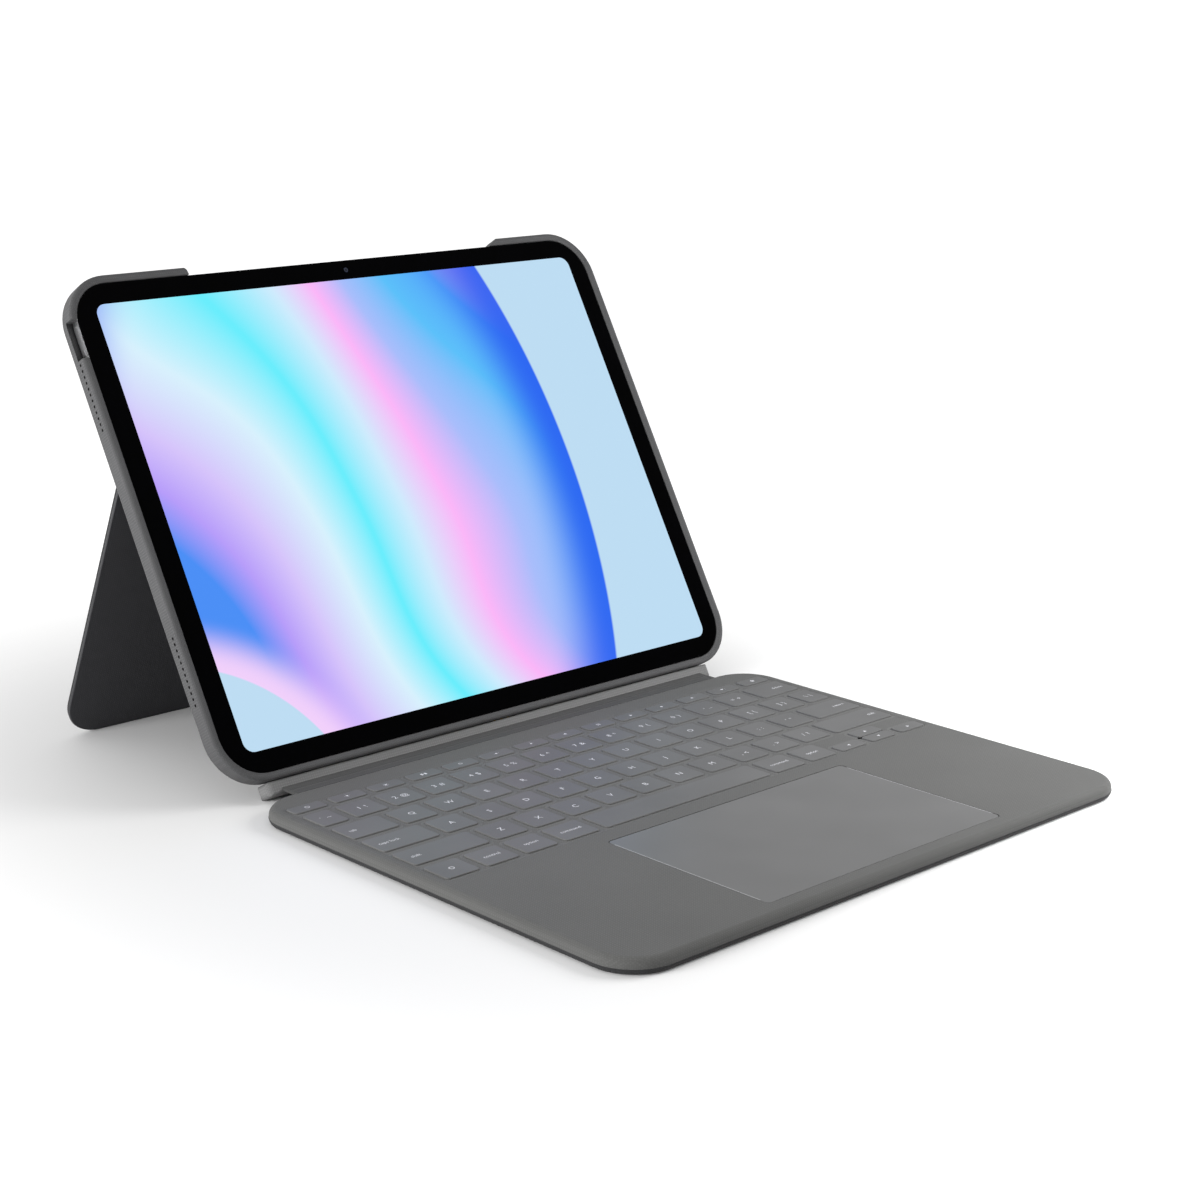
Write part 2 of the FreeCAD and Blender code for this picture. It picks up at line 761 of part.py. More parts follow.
def key_scissor(spot):
    """The folding guide under one key: a frame of two crossed links, drawn folded."""
    x0, x1, y0, y1 = spot[1:]
    inset = key_wall + 0.5
    bar = guide_width
    top = ceiling_pressed - stop_clearance
    frame = box(x0 + inset, x1 - inset, y0 + inset, y1 - inset, membrane_top, top)
    hole = box(x0 + inset + bar, x1 - inset - bar, y0 + inset + bar, y1 - inset - bar,
               membrane_top - 1, top + 1)
    return frame.cut(hole)


# ---------------------------------------------------------------- inside the deck
def key_sheet(border, z0, thickness):
    x = block_half + border
    return box(-x, x, block_front - border, block_back + border, z0, z0 + thickness)


def controller_board():
    x = trackpad_width / 2 + board_side
    z = floor_thickness + board_thickness
    board = box(x, x + board_width, board_start * block_front, board_end * block_front,
                floor_thickness, z)
    y = board_start * block_front + chip_inset
    for place, size in chips:
        board = board.fuse(box(x + place, x + place + size, y, y + size, z, z + board_thickness))
    return board


def deck_flex():
    half = flex_width / 2
    return box(flex_place - half, flex_place + half, board_end * block_front,
               deck_depth - deck_wall - 0.5, floor_thickness, floor_thickness + flex_thickness)


def deck_magnets():
    half = magnet_length / 2
    z = floor_thickness
    return group([box(x - half, x + half, deck_magnet_front, deck_magnet_front + deck_magnet_depth,
                      z, z + deck_magnet_height)
                  for x in (deck_magnet_inset - deck_half, deck_half - deck_magnet_inset)])


def trackpad_surface():
    half = trackpad_width / 2
    top = deck_height - trackpad_sink
    pad = plate(-half, half, trackpad_front, trackpad_back, top - trackpad_thickness, top,
                trackpad_corner)
    return pad.makeFillet(pad_edge_round, level_edges(pad, top))


def trackpad_board():
    half = trackpad_width / 2 - pad_board_inset
    top = deck_height - trackpad_sink - trackpad_thickness
    return box(-half, half, trackpad_front + pad_board_inset, trackpad_back - pad_board_inset,
               top - pad_board_thickness, top)


def pad_board_pressed():
    low = deck_height - trackpad_sink - trackpad_thickness - pad_board_thickness
    return low - trackpad_travel


def trackpad_bracket():
    top = deck_height - cover_thickness
    seat = pad_board_pressed() - switch_height
    half = trackpad_width / 2 + bracket_rim
    bracket = box(-half, half, trackpad_front - bracket_rim, trackpad_back + bracket_rim,
                  seat - bracket_floor, top)
    hollow = trackpad_width / 2 + bracket_hollow
    return bracket.cut(box(-hollow, hollow, trackpad_front - bracket_hollow,
                           trackpad_back + bracket_hollow, seat, top + 1))


def trackpad_switch():
    seat = pad_board_pressed() - switch_height
    middle = (trackpad_front + trackpad_back) / 2
    return Part.makeCone(switch_radii[0], switch_radii[1], switch_height - 0.05,
                         Vector(0, middle, seat))


# ---------------------------------------------------------------- tablet
def tablet_outline(z0, z1, inset=0.0):
    x = tablet_width / 2 - inset
    return plate(-x, x, tablet_low + inset, tablet_high - inset, z0, z1, tablet_corner - inset)


def tablet_housing():
    body = tablet_outline(-tablet_thickness, -glass_thickness)
    body = body.makeFillet(housing_round, level_edges(body, -tablet_thickness))
    hollow = tablet_outline(housing_wall - tablet_thickness, -glass_thickness + 1, housing_rim)
    body = body.cut(hollow)
    body = body.cut(power_button(0.1))
    return body.cut(tablet_volume_buttons(0.1))


def tablet_glass():
    glass = tablet_outline(-glass_thickness, 0)
    return glass.makeFillet(glass_round, level_edges(glass, 0))


def tablet_display():
    x = tablet_width / 2 - display_border
    return box(-x, x, tablet_low + display_border_top, tablet_high - display_border_top,
               -glass_thickness - display_thickness, -glass_thickness)


def tablet_rear_camera():
    face = -tablet_thickness - camera_proud
    bump = Part.makeCylinder(camera_radius, camera_proud, Vector(camera_x, camera_y, face))
    bump = bump.makeFillet(camera_round, level_edges(bump, face))
    return bump.cut(Part.makeCylinder(lens_radius, lens_depth, Vector(camera_x, camera_y, face)))


def power_button(extra=0.0):
    middle = (button_notch_low + button_notch_high) / 2
    half = power_length / 2 + extra
    z = -tablet_thickness / 2 - glass_thickness / 2
    height = button_height / 2 + extra
    side = -tablet_width / 2
    depth = button_depth + (button_travel + extra if extra else 0)
    return box(side - button_proud - extra * 3, side - button_proud + depth,
               middle - half, middle + half, z - height, z + height)


def tablet_volume_buttons(extra=0.0):
    z = -tablet_thickness / 2 - glass_thickness / 2
    height = button_height / 2 + extra - 0.2
    depth = button_depth + (button_travel + extra if extra else 0)
    top = tablet_high + button_proud
    return group([box(x - volume_length / 2 - extra, x + volume_length / 2 + extra, top - depth,
                      top + extra * 3, z - height, z + height) for x in volume_places])


# ---------------------------------------------------------------- write every node
def nodes():
    parts = {
        "tray_shell": in_tray(tray_shell()),
        "tray_lining": in_tray(tray_lining()),
        "upper_back_cover": in_tray(upper_back_cover()),
        "camera_ring": in_tray(camera_ring()),
        "hinge_leaves_fixed": in_tray(hinge_pair(fixed_leaf)),
        "hinge_pins": in_tray(hinge_pair(hinge_pin)),
        "tray_magnets": in_tray(group([magnet(x) for x in magnet_row()])),
        "tray_contacts": in_tray(group([make(x) for make in (edge_contact, tablet_pin)
                                        for x in contact_row()])),
        "contact_flex": in_tray(contact_flex()),
        "volume_caps": in_tray(volume_caps()),
        "kickstand_plate": swung(kickstand_plate()),
        "kickstand_inner_skin": swung(kickstand_skin(panel_outer + skin_thickness + core_thickness)),
        "kickstand_outer_skin": swung(kickstand_skin(panel_outer)),
        "kickstand_magnets": swung(group([kickstand_magnet(x) for x in kickstand_magnet_places()])),
        "hinge_leaves_moving": swung(hinge_pair(moving_leaf)),
        "connector_bar": in_tray(connector_bar()),
        "bar_magnets": in_tray(group([bar_magnet(x) for x in magnet_row()])),
        "pogo_pins": in_tray(group([pogo_pin(x) for x in contact_row()])),
        "hinge_strip": hinge_strip(),
        "strip_flex": strip_flex(),
        "deck_base": on_deck(deck_base()),
        "deck_top": on_deck(deck_top()),
        "key_support_plate": on_deck(key_sheet(block_border, plate_z, plate_thickness)),
        "key_membrane": on_deck(key_sheet(block_border - 0.5, membrane_z, membrane_thickness)),
        "backlight_sheet": on_deck(key_sheet(block_border - rib_width - 0.3, plate_z - sheet_thickness,
                                             sheet_thickness)),
        "rubber_domes": on_deck(group([rubber_dome(spot) for spot in key_layout()])),
        "key_scissors": on_deck(group([key_scissor(spot) for spot in key_layout()])),
        "controller_board": on_deck(controller_board()),
        "deck_flex": on_deck(deck_flex()),
        "deck_magnets": on_deck(deck_magnets()),
        "trackpad_bracket": on_deck(trackpad_bracket()),
        "trackpad_switch": on_deck(trackpad_switch()),
        "trackpad_surface": on_deck(trackpad_surface()),
        "trackpad_board": on_deck(trackpad_board()),
        "tablet_housing": in_tray(tablet_housing()),
        "tablet_glass": in_tray(tablet_glass()),
        "tablet_display": in_tray(tablet_display()),
        "tablet_rear_camera": in_tray(tablet_rear_camera()),
        "tablet_power_button": in_tray(power_button()),
        "tablet_volume_buttons": in_tray(tablet_volume_buttons()),
    }
    for name, caps in key_groups().items():
        parts[name] = on_deck(group(caps) if len(caps) > 1 else caps[0])
    return parts


os.makedirs("parts", exist_ok=True)
for name, shape in nodes().items():
    shape.exportStep("parts/" + name + ".step")
    print(name, len(shape.Solids), "valid" if shape.isValid() else "NOT VALID", round(shape.Volume, 1))
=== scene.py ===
# %% [markdown]
# # A tablet keyboard case, standing open on a table
# The object is a moulded tray that grips a tablet, a kickstand that folds out of its back, a
# fabric strip with a magnetic bar, and a thin keyboard deck. Everything is in metres, with the
# typist at -Y and the table at Z = 0.

# %% The frame
import bpy
import bmesh
import math
from mathutils import Matrix, Vector


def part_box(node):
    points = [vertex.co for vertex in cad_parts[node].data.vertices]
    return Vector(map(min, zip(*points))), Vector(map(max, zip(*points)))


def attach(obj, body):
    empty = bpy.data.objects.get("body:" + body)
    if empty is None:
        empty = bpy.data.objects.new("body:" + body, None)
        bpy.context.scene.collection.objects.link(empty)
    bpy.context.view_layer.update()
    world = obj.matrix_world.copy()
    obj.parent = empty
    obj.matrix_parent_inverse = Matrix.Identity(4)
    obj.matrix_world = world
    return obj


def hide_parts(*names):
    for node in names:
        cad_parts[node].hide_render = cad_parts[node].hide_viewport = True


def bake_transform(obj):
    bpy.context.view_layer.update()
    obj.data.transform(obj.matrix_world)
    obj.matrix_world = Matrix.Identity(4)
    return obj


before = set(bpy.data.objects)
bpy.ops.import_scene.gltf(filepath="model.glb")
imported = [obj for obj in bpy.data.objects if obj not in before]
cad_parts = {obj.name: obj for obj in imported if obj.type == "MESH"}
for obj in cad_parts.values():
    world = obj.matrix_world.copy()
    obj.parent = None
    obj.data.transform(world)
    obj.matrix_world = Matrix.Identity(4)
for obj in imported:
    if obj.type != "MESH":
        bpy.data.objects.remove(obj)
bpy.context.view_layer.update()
MM = 0.001
print("CAD parts:", len(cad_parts))

# %% [markdown]
# ## Where the tray stands
# The tray leans back, so anything laid on it is drawn in the tray's own flat frame first: x runs
# along its width, v runs up it from its bottom edge, and w points out of the screen. One matrix
# then carries it to its standing place. The lean and the place are measured on the glass part,
# so the pieces here stay on it if the CAD part changes.

# %% The tray's own frame
LEAN = math.radians(30)
UP = Vector((0, math.sin(LEAN), math.cos(LEAN)))
OUT = Vector((0, -math.cos(LEAN), math.sin(LEAN)))


def reach(node, direction):
    """Lowest and highest value of a CAD part's points along a direction."""
    along = [v.co.dot(direction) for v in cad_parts[node].data.vertices]
    return min(along), max(along)


glass_low, glass_high = reach("tablet_glass", UP)
glass_face = reach("tablet_glass", OUT)[1]
shell_low = reach("tray_shell", UP)[0]
tray_origin = UP * shell_low + OUT * glass_face
IN_TRAY = Matrix.Translation(tray_origin) @ Matrix.Rotation(math.pi / 2 - LEAN, 4, "X")
HALF_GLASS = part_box("tablet_glass")[1].x
GLASS_V0 = glass_low - shell_low
GLASS_V1 = glass_high - shell_low
CASE_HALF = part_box("tray_shell")[1].x
print("glass, from the tray's bottom edge:", round(GLASS_V0 / MM, 2), round(GLASS_V1 / MM, 2), "mm")

# %% [markdown]
# ## One colour function and one node helper
# A colour given as a hex code is an sRGB value, and a shader wants linear light, so one function
# turns a hex code into linear numbers. A node helper adds a node, sets it and links it in one call,
# which keeps each material short enough to read as a recipe.

# %% Colour and node helpers
def linear(code):
    """An sRGB hex code as a linear colour with alpha."""
    shares = [int(code[i:i + 2], 16) / 255 for i in (0, 2, 4)]
    return [s / 12.92 if s <= 0.04045 else ((s + 0.055) / 1.055) ** 2.4 for s in shares] + [1.0]


def add(tree, kind, inputs=(), stops=(), **settings):
    """A new node: settings are its own properties, inputs are values or sockets to link, and
    stops are a ramp's places and hex codes."""
    made = tree.nodes.new(kind)
    for name, value in settings.items():
        setattr(made, name, value)
    for key, value in dict(inputs).items():
        if isinstance(value, bpy.types.NodeSocket):
            tree.links.new(value, made.inputs[key])
        else:
            made.inputs[key].default_value = value
    for number, (place, code) in enumerate(stops):
        ramp = made.color_ramp.elements
        stop = ramp[number] if number < 2 else ramp.new(place)
        stop.position, stop.color = place, linear(code)
    return made


def start_finish(name, **shader):
    """A material with one Principled shader that holds constant inputs, and its object place."""
    material = bpy.data.materials.new(name)
    material.use_nodes = True
    tree = material.node_tree
    tree.nodes.clear()
    constants = {key.replace("_", " "): value for key, value in shader.items()}
    surface = add(tree, "ShaderNodeBsdfPrincipled", constants)
    add(tree, "ShaderNodeOutputMaterial", {"Surface": surface.outputs[0]})
    place = add(tree, "ShaderNodeTexCoord").outputs["Object"]
    return material, tree, surface, place


print("helpers ready")

# %% [markdown]
# ## Woven-look polyurethane
# The shell, the bar, the kickstand and the deck cover are wrapped in a polyurethane skin that was
# pressed against a woven cloth while soft. The eye gets a matte grey with a fine square weave
# that catches light on its ridges and stays dark in its valleys, and here that light and shade is
# painted into the colour: ridges lighter, valleys darker, on top of the bump. The weave could be an
# image or real threads. Three sine waves at right angles are enough, because on each flat face two
# of them make the over and under of the threads. The real thread spacing is about 0.6 mm, and it is
# drawn at 1.1 mm so that it shows. A slow noise adds the cloudy, uneven tone that a pressed skin
# has.
# The tray's skin turns its pattern with the leaning tray. The deck's skin is pressed flatter and
# reflects less than the others, so the lit screen doesn't colour it. The deck's base is a darker
# copy of the skin, painted shade for the dark band along the deck's lower edge. The key well's skin
# is a lighter copy, partly the keys' own grey and partly painted light that lifts the shade between
# the keys.

# %% The woven skin
WEAVE_PITCH = 1.1 * MM


def woven_skin(name, ridge, valley, turn=0.0, depth=0.05, rough=0.62, shine=0.2):
    """A pressed polyurethane skin. turn leans the weave about X, depth is in millimetres."""
    material, tree, surface, place = start_finish(name, IOR=1.5, Specular_IOR_Level=shine,
                                                  Sheen_Weight=0.04, Sheen_Roughness=0.45)
    turned = add(tree, "ShaderNodeMapping", {"Vector": place, "Rotation": (turn, 0, 0)}).outputs[0]
    spread = add(tree, "ShaderNodeVectorMath", {0: turned, "Scale": math.tau / WEAVE_PITCH},
                 operation="SCALE")
    wave = add(tree, "ShaderNodeVectorMath", {0: spread.outputs[0]}, operation="SINE").outputs[0]
    split = add(tree, "ShaderNodeSeparateXYZ", {0: wave})
    shifted = add(tree, "ShaderNodeCombineXYZ", {0: split.outputs[1], 1: split.outputs[2],
                                                 2: split.outputs[0]})
    weave = add(tree, "ShaderNodeVectorMath", {0: wave, 1: shifted.outputs[0]},
                operation="DOT_PRODUCT").outputs["Value"]
    fibre = add(tree, "ShaderNodeTexNoise", {"Vector": turned, "Scale": 900.0, "Detail": 3.0,
                                             "Roughness": 0.6})
    height = add(tree, "ShaderNodeMath", {0: fibre.outputs["Fac"], 1: 1.4, 2: weave},
                 operation="MULTIPLY_ADD").outputs[0]
    share = add(tree, "ShaderNodeMapRange", {"Value": height, "From Min": -1.2, "From Max": 2.6})
    cloud = add(tree, "ShaderNodeTexNoise", {"Vector": turned, "Scale": 28.0, "Detail": 2.0})
    # Painted light: the weave's ridges take the lighter colour and its valleys the darker one, as
    # painted highlight and painted shade, with a slow cloud of uneven tone on top.
    shade = add(tree, "ShaderNodeMath", {0: cloud.outputs["Fac"], 1: 0.5, 2: share.outputs[0]},
                operation="MULTIPLY_ADD")
    tint = add(tree, "ShaderNodeMix", {0: shade.outputs[0], 6: linear(valley), 7: linear(ridge)},
               data_type="RGBA")
    bump = add(tree, "ShaderNodeBump", {"Height": height, "Strength": 0.5, "Distance": depth * MM})
    dull = add(tree, "ShaderNodeMapRange", {"Value": share.outputs[0], "To Min": rough + 0.1,
                                            "To Max": rough - 0.05})
    tree.links.new(tint.outputs[2], surface.inputs["Base Color"])
    tree.links.new(bump.outputs[0], surface.inputs["Normal"])
    tree.links.new(dull.outputs[0], surface.inputs["Roughness"])
    return material


TRAY_TURN = LEAN - math.pi / 2
KICKSTAND_TURN = math.radians(-114.9)
FLAT_WEAVE = 0.03
SHEET_WEAVE = 0.02
CLOTH_WEAVE = 0.012
LINING_WEAVE = 0.015
tray_skin = woven_skin("pressed polyurethane skin, tray", "515152", "3E3E3F", TRAY_TURN)
bar_skin = woven_skin("pressed polyurethane skin, bar", "767676", "606060", TRAY_TURN)
deck_skin = woven_skin("pressed polyurethane skin, deck", "5C5C5B", "4E4E4D", 0.0,
                       FLAT_WEAVE, shine=0.1)
# Painted shade: the deck's base is a darker copy of the deck's skin, for the dark band along the
# deck's lower edge.
shaded_base_skin = woven_skin("pressed polyurethane skin, deck base", "323233", "262627", 0.0,
                       FLAT_WEAVE)
# Partly painted light: the key well's skin is a lighter copy of the deck's skin, partly the keys'
# own grey and partly lifting the shade between the keys.
lightened_well_skin = woven_skin("pressed polyurethane skin, key well", "616160", "565655", 0.0,
                       SHEET_WEAVE)
strip_cloth = woven_skin("flexible polyurethane cloth, strip", "484848", "3E3E3E", 0.0,
                         CLOTH_WEAVE)
outer_skin = woven_skin("pressed polyurethane skin, kickstand", "5E5E5F", "464648",
                        KICKSTAND_TURN)
dark_skin = woven_skin("dark woven lining of the kickstand", "3A3A3D", "303032", KICKSTAND_TURN,
                       LINING_WEAVE, 0.75)
print("woven skins ready")

# %% [markdown]
# ## Moulded plastics, rubber and glass
# The key caps are ABS, moulded in a mould that was eroded to a fine matte grain, so they show
# tiny bright and dark specks and a soft highlight. The trackpad is etched glass painted grey
# behind, which is smoother and shinier than the cover around it. The grain is a noise in height
# and a little in colour. Real grain is about 0.15 mm and is drawn at 0.3 mm so that it shows.

# %% Grained surfaces
def grained(name, light, dark, grain=0.3, depth=0.01, low=0.45, high=0.6, **shader):
    """A matte moulded or etched surface. grain and depth are in millimetres, and its roughness
    runs from low to high."""
    material, tree, surface, place = start_finish(name, **shader)
    speck = add(tree, "ShaderNodeTexNoise", {"Vector": place, "Scale": 1 / (grain * MM),
                                             "Detail": 2.0})
    cloud = add(tree, "ShaderNodeTexNoise", {"Vector": place, "Scale": 35.0, "Detail": 1.0})
    share = add(tree, "ShaderNodeMath", {0: speck.outputs["Fac"], 1: cloud.outputs["Fac"]},
                operation="MULTIPLY")
    spread = add(tree, "ShaderNodeMapRange", {"Value": share.outputs[0], "From Min": 0.08,
                                              "From Max": 0.42})
    tint = add(tree, "ShaderNodeMix", {0: spread.outputs[0], 6: linear(dark), 7: linear(light)},
               data_type="RGBA")
    bump = add(tree, "ShaderNodeBump", {"Height": speck.outputs["Fac"], "Strength": 0.6,
                                        "Distance": depth * MM})
    dull = add(tree, "ShaderNodeMapRange", {"Value": speck.outputs["Fac"], "To Min": low,
                                            "To Max": high})
    tree.links.new(tint.outputs[2], surface.inputs["Base Color"])
    tree.links.new(bump.outputs[0], surface.inputs["Normal"])
    tree.links.new(dull.outputs[0], surface.inputs["Roughness"])
    return material


key_plastic = grained("fine-grained moulded ABS, keys", "656565", "5B5B5B", IOR=1.5,
                      Specular_IOR_Level=0.3)
pad_glass = grained("etched glass painted grey, trackpad", "626262", "5B5B5B", 0.25, 0.004,
                    0.32, 0.42, IOR=1.52)
core_plastic = grained("glass-filled composite, cores", "3C3C3E", "2E2E30", IOR=1.5)
ring_plastic = grained("satin moulded ABS, camera ring", "4A4A4C", "3E3E40", 0.3, 0.006, 0.3,
                       0.4, IOR=1.5)
microfibre = grained("brushed microfibre, lining", "4A4A4E", "333337", 0.5, 0.08, 0.85, 0.95,
                     Sheen_Weight=0.4, Sheen_Roughness=0.5)
membrane = grained("printed polyester film, membrane", "5E6468", "4C5256", 1.2, 0.01)
light_sheet = grained("clouded acrylic, light guide", "E4E6E6", "D6D8D9", 1.0, 0.01, 0.3, 0.4)
silicone = grained("milky silicone rubber, domes", "CFCFC9", "BEBEB8", 0.6, 0.02, 0.4, 0.55,
                   IOR=1.42, Subsurface_Weight=0.1)
acetal = grained("moulded acetal, key guides", "3A3A3C", "303032", 0.4, 0.01, 0.35, 0.5)
board = grained("green solder mask, circuit boards", "1F5A3A", "17452C", 0.8, 0.02, 0.35, 0.5)
film = grained("amber polyimide, flexible circuits", "A8661C", "8E5415", 1.0, 0.01, 0.3, 0.42)
cover_glass = grained("black-backed tablet glass", "020203", "010101", 2.0, 0.0005, 0.04, 0.07,
                      IOR=1.5, Specular_IOR_Level=0.03)
lens_black = grained("camera glass and black trim", "08080A", "040405", 1.0, 0.002, 0.06, 0.12,
                     IOR=1.5)
print("grained surfaces ready")

# %% [markdown]
# ## Metals
# The tablet's shell is aluminium, bead-blasted and anodised, so it is a soft grey with a fine
# sparkle and no brush lines. The hinges are brushed stainless steel, the magnets are plated with
# nickel, and the contacts with gold. Blasting and brushing differ only in how the noise is
# stretched, so one recipe serves all of them.

# %% Metal finishes
DULL_SHARE = 0.86


def metal(name, code, low, high, grain=0.2, stretch=1.0, depth=0.006):
    """A metal with its colour, a roughness from low to high, and a grain stretched along X."""
    material, tree, surface, place = start_finish(name, Metallic=1.0)
    drawn = add(tree, "ShaderNodeMapping", {"Vector": place, "Scale": (1 / stretch, 1, 1)})
    speck = add(tree, "ShaderNodeTexNoise", {"Vector": drawn.outputs[0], "Scale": 1 / (grain * MM),
                                             "Detail": 3.0})
    duller = [share * DULL_SHARE for share in linear(code)]
    tint = add(tree, "ShaderNodeMix", {0: speck.outputs["Fac"], 6: duller, 7: linear(code)},
               data_type="RGBA")
    bump = add(tree, "ShaderNodeBump", {"Height": speck.outputs["Fac"], "Strength": 0.5,
                                        "Distance": depth * MM})
    dull = add(tree, "ShaderNodeMapRange", {"Value": speck.outputs["Fac"], "To Min": low,
                                            "To Max": high})
    tree.links.new(tint.outputs[2], surface.inputs["Base Color"])
    tree.links.new(bump.outputs[0], surface.inputs["Normal"])
    tree.links.new(dull.outputs[0], surface.inputs["Roughness"])
    return material


aluminium = metal("bead-blasted anodised aluminium", "DCDCDE", 0.55, 0.7)
steel = metal("brushed stainless steel, hinges", "B9B9BA", 0.25, 0.45, 0.15, 12.0)
sheet_steel = metal("pressed steel sheet", "9C9C9E", 0.35, 0.55, 0.3, 4.0)
nickel = metal("nickel plating, magnets", "C4C1B8", 0.12, 0.25, 0.4)
gold = metal("gold plating, contacts", "E3B95A", 0.15, 0.28, 0.3)
print("metals ready")

# %% [markdown]
# ## Which part has which finish
# Each CAD part keeps its mesh and only changes the material in its slot. Parts that no one sees
# get their true finish too, because the object can be taken apart. Flat parts are shaded flat and
# round ones smooth, which the import has already set.

# %% Finishes on the CAD parts
KEYS = [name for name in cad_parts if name.startswith("key_") or name.endswith("_keys")]
KEYS = [name for name in KEYS if name not in ("key_support_plate", "key_membrane", "key_scissors")]
FINISHES = {
    tray_skin: ("tray_shell", "volume_caps", "upper_back_cover"),
    outer_skin: ("kickstand_outer_skin",),
    bar_skin: ("connector_bar",),
    deck_skin: ("deck_top",),
    shaded_base_skin: ("deck_base",),
    dark_skin: ("kickstand_inner_skin",),
    microfibre: ("tray_lining",),
    strip_cloth: ("hinge_strip",),
    key_plastic: KEYS,
    pad_glass: ("trackpad_surface",),
    core_plastic: ("kickstand_plate", "trackpad_bracket"),
    ring_plastic: ("camera_ring",),
    membrane: ("key_membrane",),
    light_sheet: ("backlight_sheet",),
    silicone: ("rubber_domes", "trackpad_switch"),
    acetal: ("key_scissors",),
    board: ("controller_board", "trackpad_board"),
    film: ("deck_flex", "strip_flex", "contact_flex"),
    cover_glass: ("tablet_glass", "tablet_display"),
    lens_black: ("tablet_rear_camera",),
    aluminium: ("tablet_housing", "tablet_power_button", "tablet_volume_buttons"),
    steel: ("hinge_leaves_fixed", "hinge_leaves_moving", "hinge_pins"),
    sheet_steel: ("key_support_plate",),
    nickel: ("tray_magnets", "bar_magnets", "deck_magnets", "kickstand_magnets"),
    gold: ("tray_contacts", "pogo_pins"),
}
finished = set()
for material, names in FINISHES.items():
    for name in names:
        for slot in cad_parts[name].material_slots:
            slot.material = material
        finished.add(name)
print("CAD parts without a finish:", sorted(set(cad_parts) - finished))

# %% [markdown]
# ## Adding pieces of our own
# A piece is made in the tray's flat frame or straight in the room's frame, always with its place
# in its mesh, so that patterns on it don't slide. One helper turns points and faces into a piece,
# names its finish and lets it ride on its CAD body.

# %% Piece helpers
def piece(name, mesh_parts, material, body, place=Matrix.Identity(4)):
    """One object from lists of (points, faces), carried by a CAD body unless body is None."""
    points, faces = [], []
    for part_points, part_faces in mesh_parts:
        start = len(points)
        points += [place @ Vector(p) for p in part_points]
        faces += [[start + i for i in face] for face in part_faces]
    mesh = bpy.data.meshes.new(name)
    mesh.from_pydata(points, [], faces)
    mesh.materials.append(material)
    made = bpy.data.objects.new(name, mesh)
    bpy.context.scene.collection.objects.link(made)
    if body:
        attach(made, body)
    return made


def rounded(x0, x1, y0, y1, radius, steps=10):
    """The points of a rectangle with round corners, anticlockwise."""
    points = []
    corners = ((x1, y1, 0), (x0, y1, 90), (x0, y0, 180), (x1, y0, 270))
    for x, y, start in corners:
        cx = x - radius if x == x1 else x + radius
        cy = y - radius if y == y1 else y + radius
        for step in range(steps + 1):
            turn = math.radians(start + 90 * step / steps)
            points.append((cx + radius * math.cos(turn), cy + radius * math.sin(turn)))
    return points


def disc(x, y, radius, sides=24, turn=0.0, stretch=1.0):
    """A flat polygon as one part for piece(), with its height left at 0."""
    spots = [turn + math.tau * i / sides for i in range(sides)]
    return ([(x + stretch * radius * math.cos(a), y + radius * math.sin(a), 0) for a in spots],
            [list(range(sides))])


print("piece helpers ready")

# %% [markdown]
# ## The lit screen
# Behind the glass is a bright display with round corners. A picture on it could be an image file,
# but soft bands of colour are easy to draw with shader nodes: a slow noise bends the picture's own
# flat coordinates, one ramp turns a slanting distance into bands, and two soft-edged circles cut
# the bands off against a pale ground. The colours glow by themselves, so they are emission, and
# the same surface keeps the gloss of the glass. It is a plain abstract gradient.

# %% Screen picture
BORDER_X = 9.7 * MM
BORDER_V = 9.2 * MM
SCREEN_CORNER = 4.8 * MM
PROUD = 0.02 * MM
screen_v = (GLASS_V0 + GLASS_V1) / 2
screen_half = HALF_GLASS - BORDER_X
screen, tree, surface, place = start_finish("lit display under glass", Roughness=0.06, IOR=1.5,
                                            Specular_IOR_Level=0.03,
                                            Base_Color=linear("000000"), Emission_Strength=1.0)
flat = add(tree, "ShaderNodeMapping", {
    "Vector": place, "Location": IN_TRAY @ Vector((0, screen_v, 0)),
    "Rotation": (math.pi / 2 - LEAN, 0, 0), "Scale": (screen_half,) * 3},
    vector_type="TEXTURE").outputs[0]
drift = add(tree, "ShaderNodeTexNoise", {"Vector": flat, "Scale": 0.8,
                                         "Detail": 0.0}).outputs["Color"]
bent = add(tree, "ShaderNodeVectorMath", {0: drift, 1: (0.9, 0.9, 0), 2: flat},
           operation="MULTIPLY_ADD").outputs[0]
slant = add(tree, "ShaderNodeVectorMath", {0: bent, 1: (0.42, 0.20, 0)},
            operation="DOT_PRODUCT").outputs["Value"]
BANDS = ((0.0, "4C8FF6"), (0.07, "B79DFA"), (0.15, "D6C4FB"), (0.26, "D8F1FD"), (0.35, "66EDFC"),
         (0.42, "CFEBFD"), (0.485, "FBB6F8"), (0.55, "A9BDFB"), (0.64, "5CC0FA"), (0.74, "55A6FA"),
         (0.82, "C9A2F2"), (0.92, "3D8DF8"), (1.0, "1F5CF2"))
bands = add(tree, "ShaderNodeValToRGB", {"Fac": add(
    tree, "ShaderNodeMath", {0: slant, 1: 0.17}).outputs[0]}, BANDS).outputs[0]
CURVES = (((-0.30, 0.0, 0), (1, 0.62, 0), 0.98, "2A63F2", 0.70),
          ((-1.25, -1.05, 0), (1, 1, 0), -0.62, "F6D3FB", 1.3))
picture = bands
